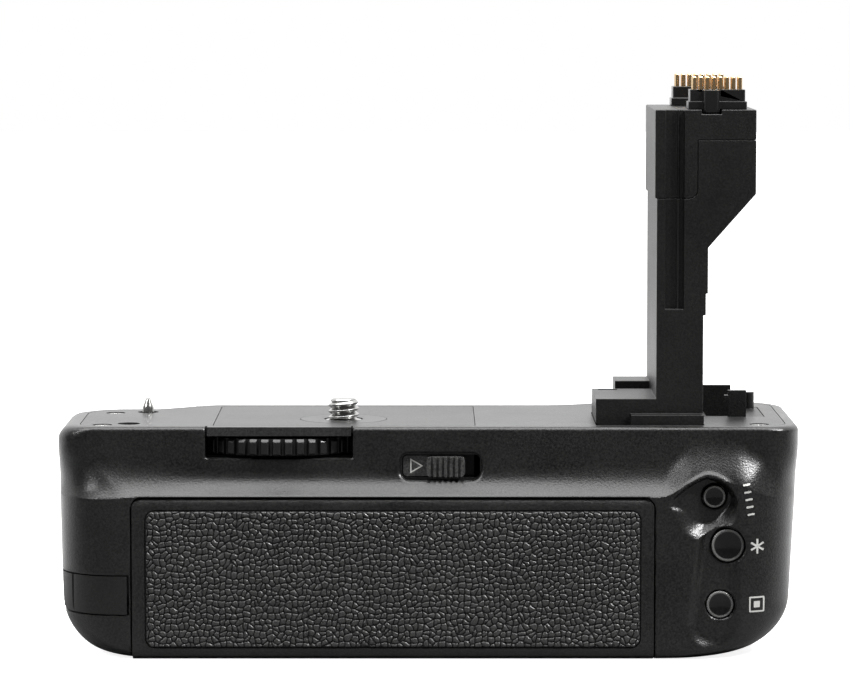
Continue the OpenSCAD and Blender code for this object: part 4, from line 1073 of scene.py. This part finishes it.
# Right end controls: the shutter button with its collar, the ribbed control dial on its axle and the
# power slider, all moulded in black plastic and let into the shells.
rounded("shutter_button", 0.4, button_black, 20)
rounded("shutter_collar", 0.25, seat_grey)
rounded("control_dial", 0.12, wheel_black)
rounded("power_switch", 0.2, housing_black)

# Cord cover: a soft moulded rubber flap that closes the socket at the left end. It lies in a shallow
# seat of the rear shell and swings on its edge.
cover_rubber = grained("cover_rubber", (0.002, 0.002, 0.002), (0.011, 0.011, 0.0105), 0.5, 2500, 0.05)
rounded("cord_cover", 0.25, cover_rubber, 35)

# Studio: a floor and a surround that the camera sees as near white, and that other surfaces see as
# dark on the near side and bright beyond the object. One wide soft lamp hangs above, a small one at
# the right and a weak one at the left.
view_at = Vector((-0.7, -872.7, 135.6)) * MM
view_down = 4.9
photo_width = 850
focal_pixels = 4212
camera_data = bpy.data.cameras.new("camera")
camera_data.sensor_width = 36
camera_data.lens = focal_pixels / photo_width * camera_data.sensor_width
camera_data.clip_start = 0.01
camera_data.clip_end = 20
camera = bpy.data.objects.new("camera", camera_data)
camera.location = view_at
camera.rotation_euler = (math.radians(90 - view_down), 0, 0)
bpy.context.scene.collection.objects.link(camera)
bpy.context.scene.camera = camera


def soft_lamp(name, at, aim, width, depth, watts):
    lamp_data = bpy.data.lights.new(name, "AREA")
    lamp_data.shape = "RECTANGLE"
    lamp_data.size = width
    lamp_data.size_y = depth
    lamp_data.energy = watts
    lamp = bpy.data.objects.new(name, lamp_data)
    lamp.location = at
    lamp.rotation_euler = (Vector(aim) - Vector(at)).to_track_quat("-Z", "Y").to_euler()
    bpy.context.scene.collection.objects.link(lamp)


soft_lamp("top_lamp", (0, -0.1, 0.9), (0, 0, 0.04), 1.2, 0.7, 16)
soft_lamp("key_lamp", (0.68, -0.33, 0.83), (0.03, 0, 0.04), 0.16, 0.16, 13)
soft_lamp("edge_lamp", (-0.75, -0.5, 0.6), (-0.03, 0, 0.04), 0.2, 0.2, 2.5)

floor_half = 3000
floor_corners = np.array([(-1, -1, 0), (1, -1, 0), (1, 1, 0), (-1, 1, 0)])
floor_piece = new_piece("floor", floor_half * floor_corners, [(0, 1, 2, 3)])
floor_white = bpy.data.materials.new("floor_white")
floor_white.use_nodes = True
floor_tree = floor_white.node_tree
link = floor_tree.links.new
floor_shader = floor_tree.nodes["Principled BSDF"]
floor_shader.inputs["Roughness"].default_value = 0.9
floor_shader.inputs["Specular IOR Level"].default_value = 0.1
floor_path = add_node(floor_tree, "ShaderNodeLightPath")
floor_place = add_node(floor_tree, "ShaderNodeNewGeometry")
floor_parts = add_node(floor_tree, "ShaderNodeSeparateXYZ")
floor_fade = add_node(floor_tree, "ShaderNodeMapRange", interpolation_type="SMOOTHSTEP",
                      From_Min=-0.1, From_Max=0.2, To_Min=0.1, To_Max=0.8)
floor_shade = add_node(floor_tree, "ShaderNodeMix", data_type="RGBA")
floor_shade.inputs[7].default_value = (0.82, 0.82, 0.82, 1)
link(floor_place.outputs["Position"], floor_parts.inputs[0])
link(floor_parts.outputs["Y"], floor_fade.inputs["Value"])
link(floor_path.outputs["Is Camera Ray"], floor_shade.inputs[0])
link(floor_fade.outputs[0], floor_shade.inputs[6])
link(floor_shade.outputs[2], floor_shader.inputs["Base Color"])
floor_seen = add_node(floor_tree, "ShaderNodeMath", operation="MULTIPLY")
floor_seen.inputs[1].default_value = 0.85
link(floor_path.outputs["Is Camera Ray"], floor_seen.inputs[0])
link(floor_seen.outputs[0], floor_shader.inputs["Emission Strength"])
floor_shader.inputs["Emission Color"].default_value = (1, 1, 1, 1)
wear(floor_piece, floor_white)

world = bpy.data.worlds.new("surround")
bpy.context.scene.world = world
world.use_nodes = True
world_tree = world.node_tree
link = world_tree.links.new
backdrop = world_tree.nodes["Background"]
backdrop.inputs["Color"].default_value = (1, 1, 1, 1)
surround = add_node(world_tree, "ShaderNodeBackground", Color=(1, 1, 1, 1))
place = add_node(world_tree, "ShaderNodeTexCoord")
parts = add_node(world_tree, "ShaderNodeSeparateXYZ")
fade = add_node(world_tree, "ShaderNodeMapRange", interpolation_type="SMOOTHSTEP",
                From_Min=-0.1, From_Max=0.4, To_Min=0.13, To_Max=1.45)
link(place.outputs["Generated"], parts.inputs[0])
link(parts.outputs["Y"], fade.inputs["Value"])
link(fade.outputs[0], surround.inputs["Strength"])
path = add_node(world_tree, "ShaderNodeLightPath")
seen = add_node(world_tree, "ShaderNodeMath", operation="MAXIMUM")
either = add_node(world_tree, "ShaderNodeMixShader")
world_out = world_tree.nodes["World Output"]
link(path.outputs["Is Camera Ray"], seen.inputs[0])
link(path.outputs["Is Transmission Ray"], seen.inputs[1])
link(seen.outputs[0], either.inputs[0])
link(surround.outputs[0], either.inputs[1])
link(backdrop.outputs[0], either.inputs[2])
link(either.outputs[0], world_out.inputs["Surface"])
bpy.context.scene.view_settings.view_transform = "Standard"
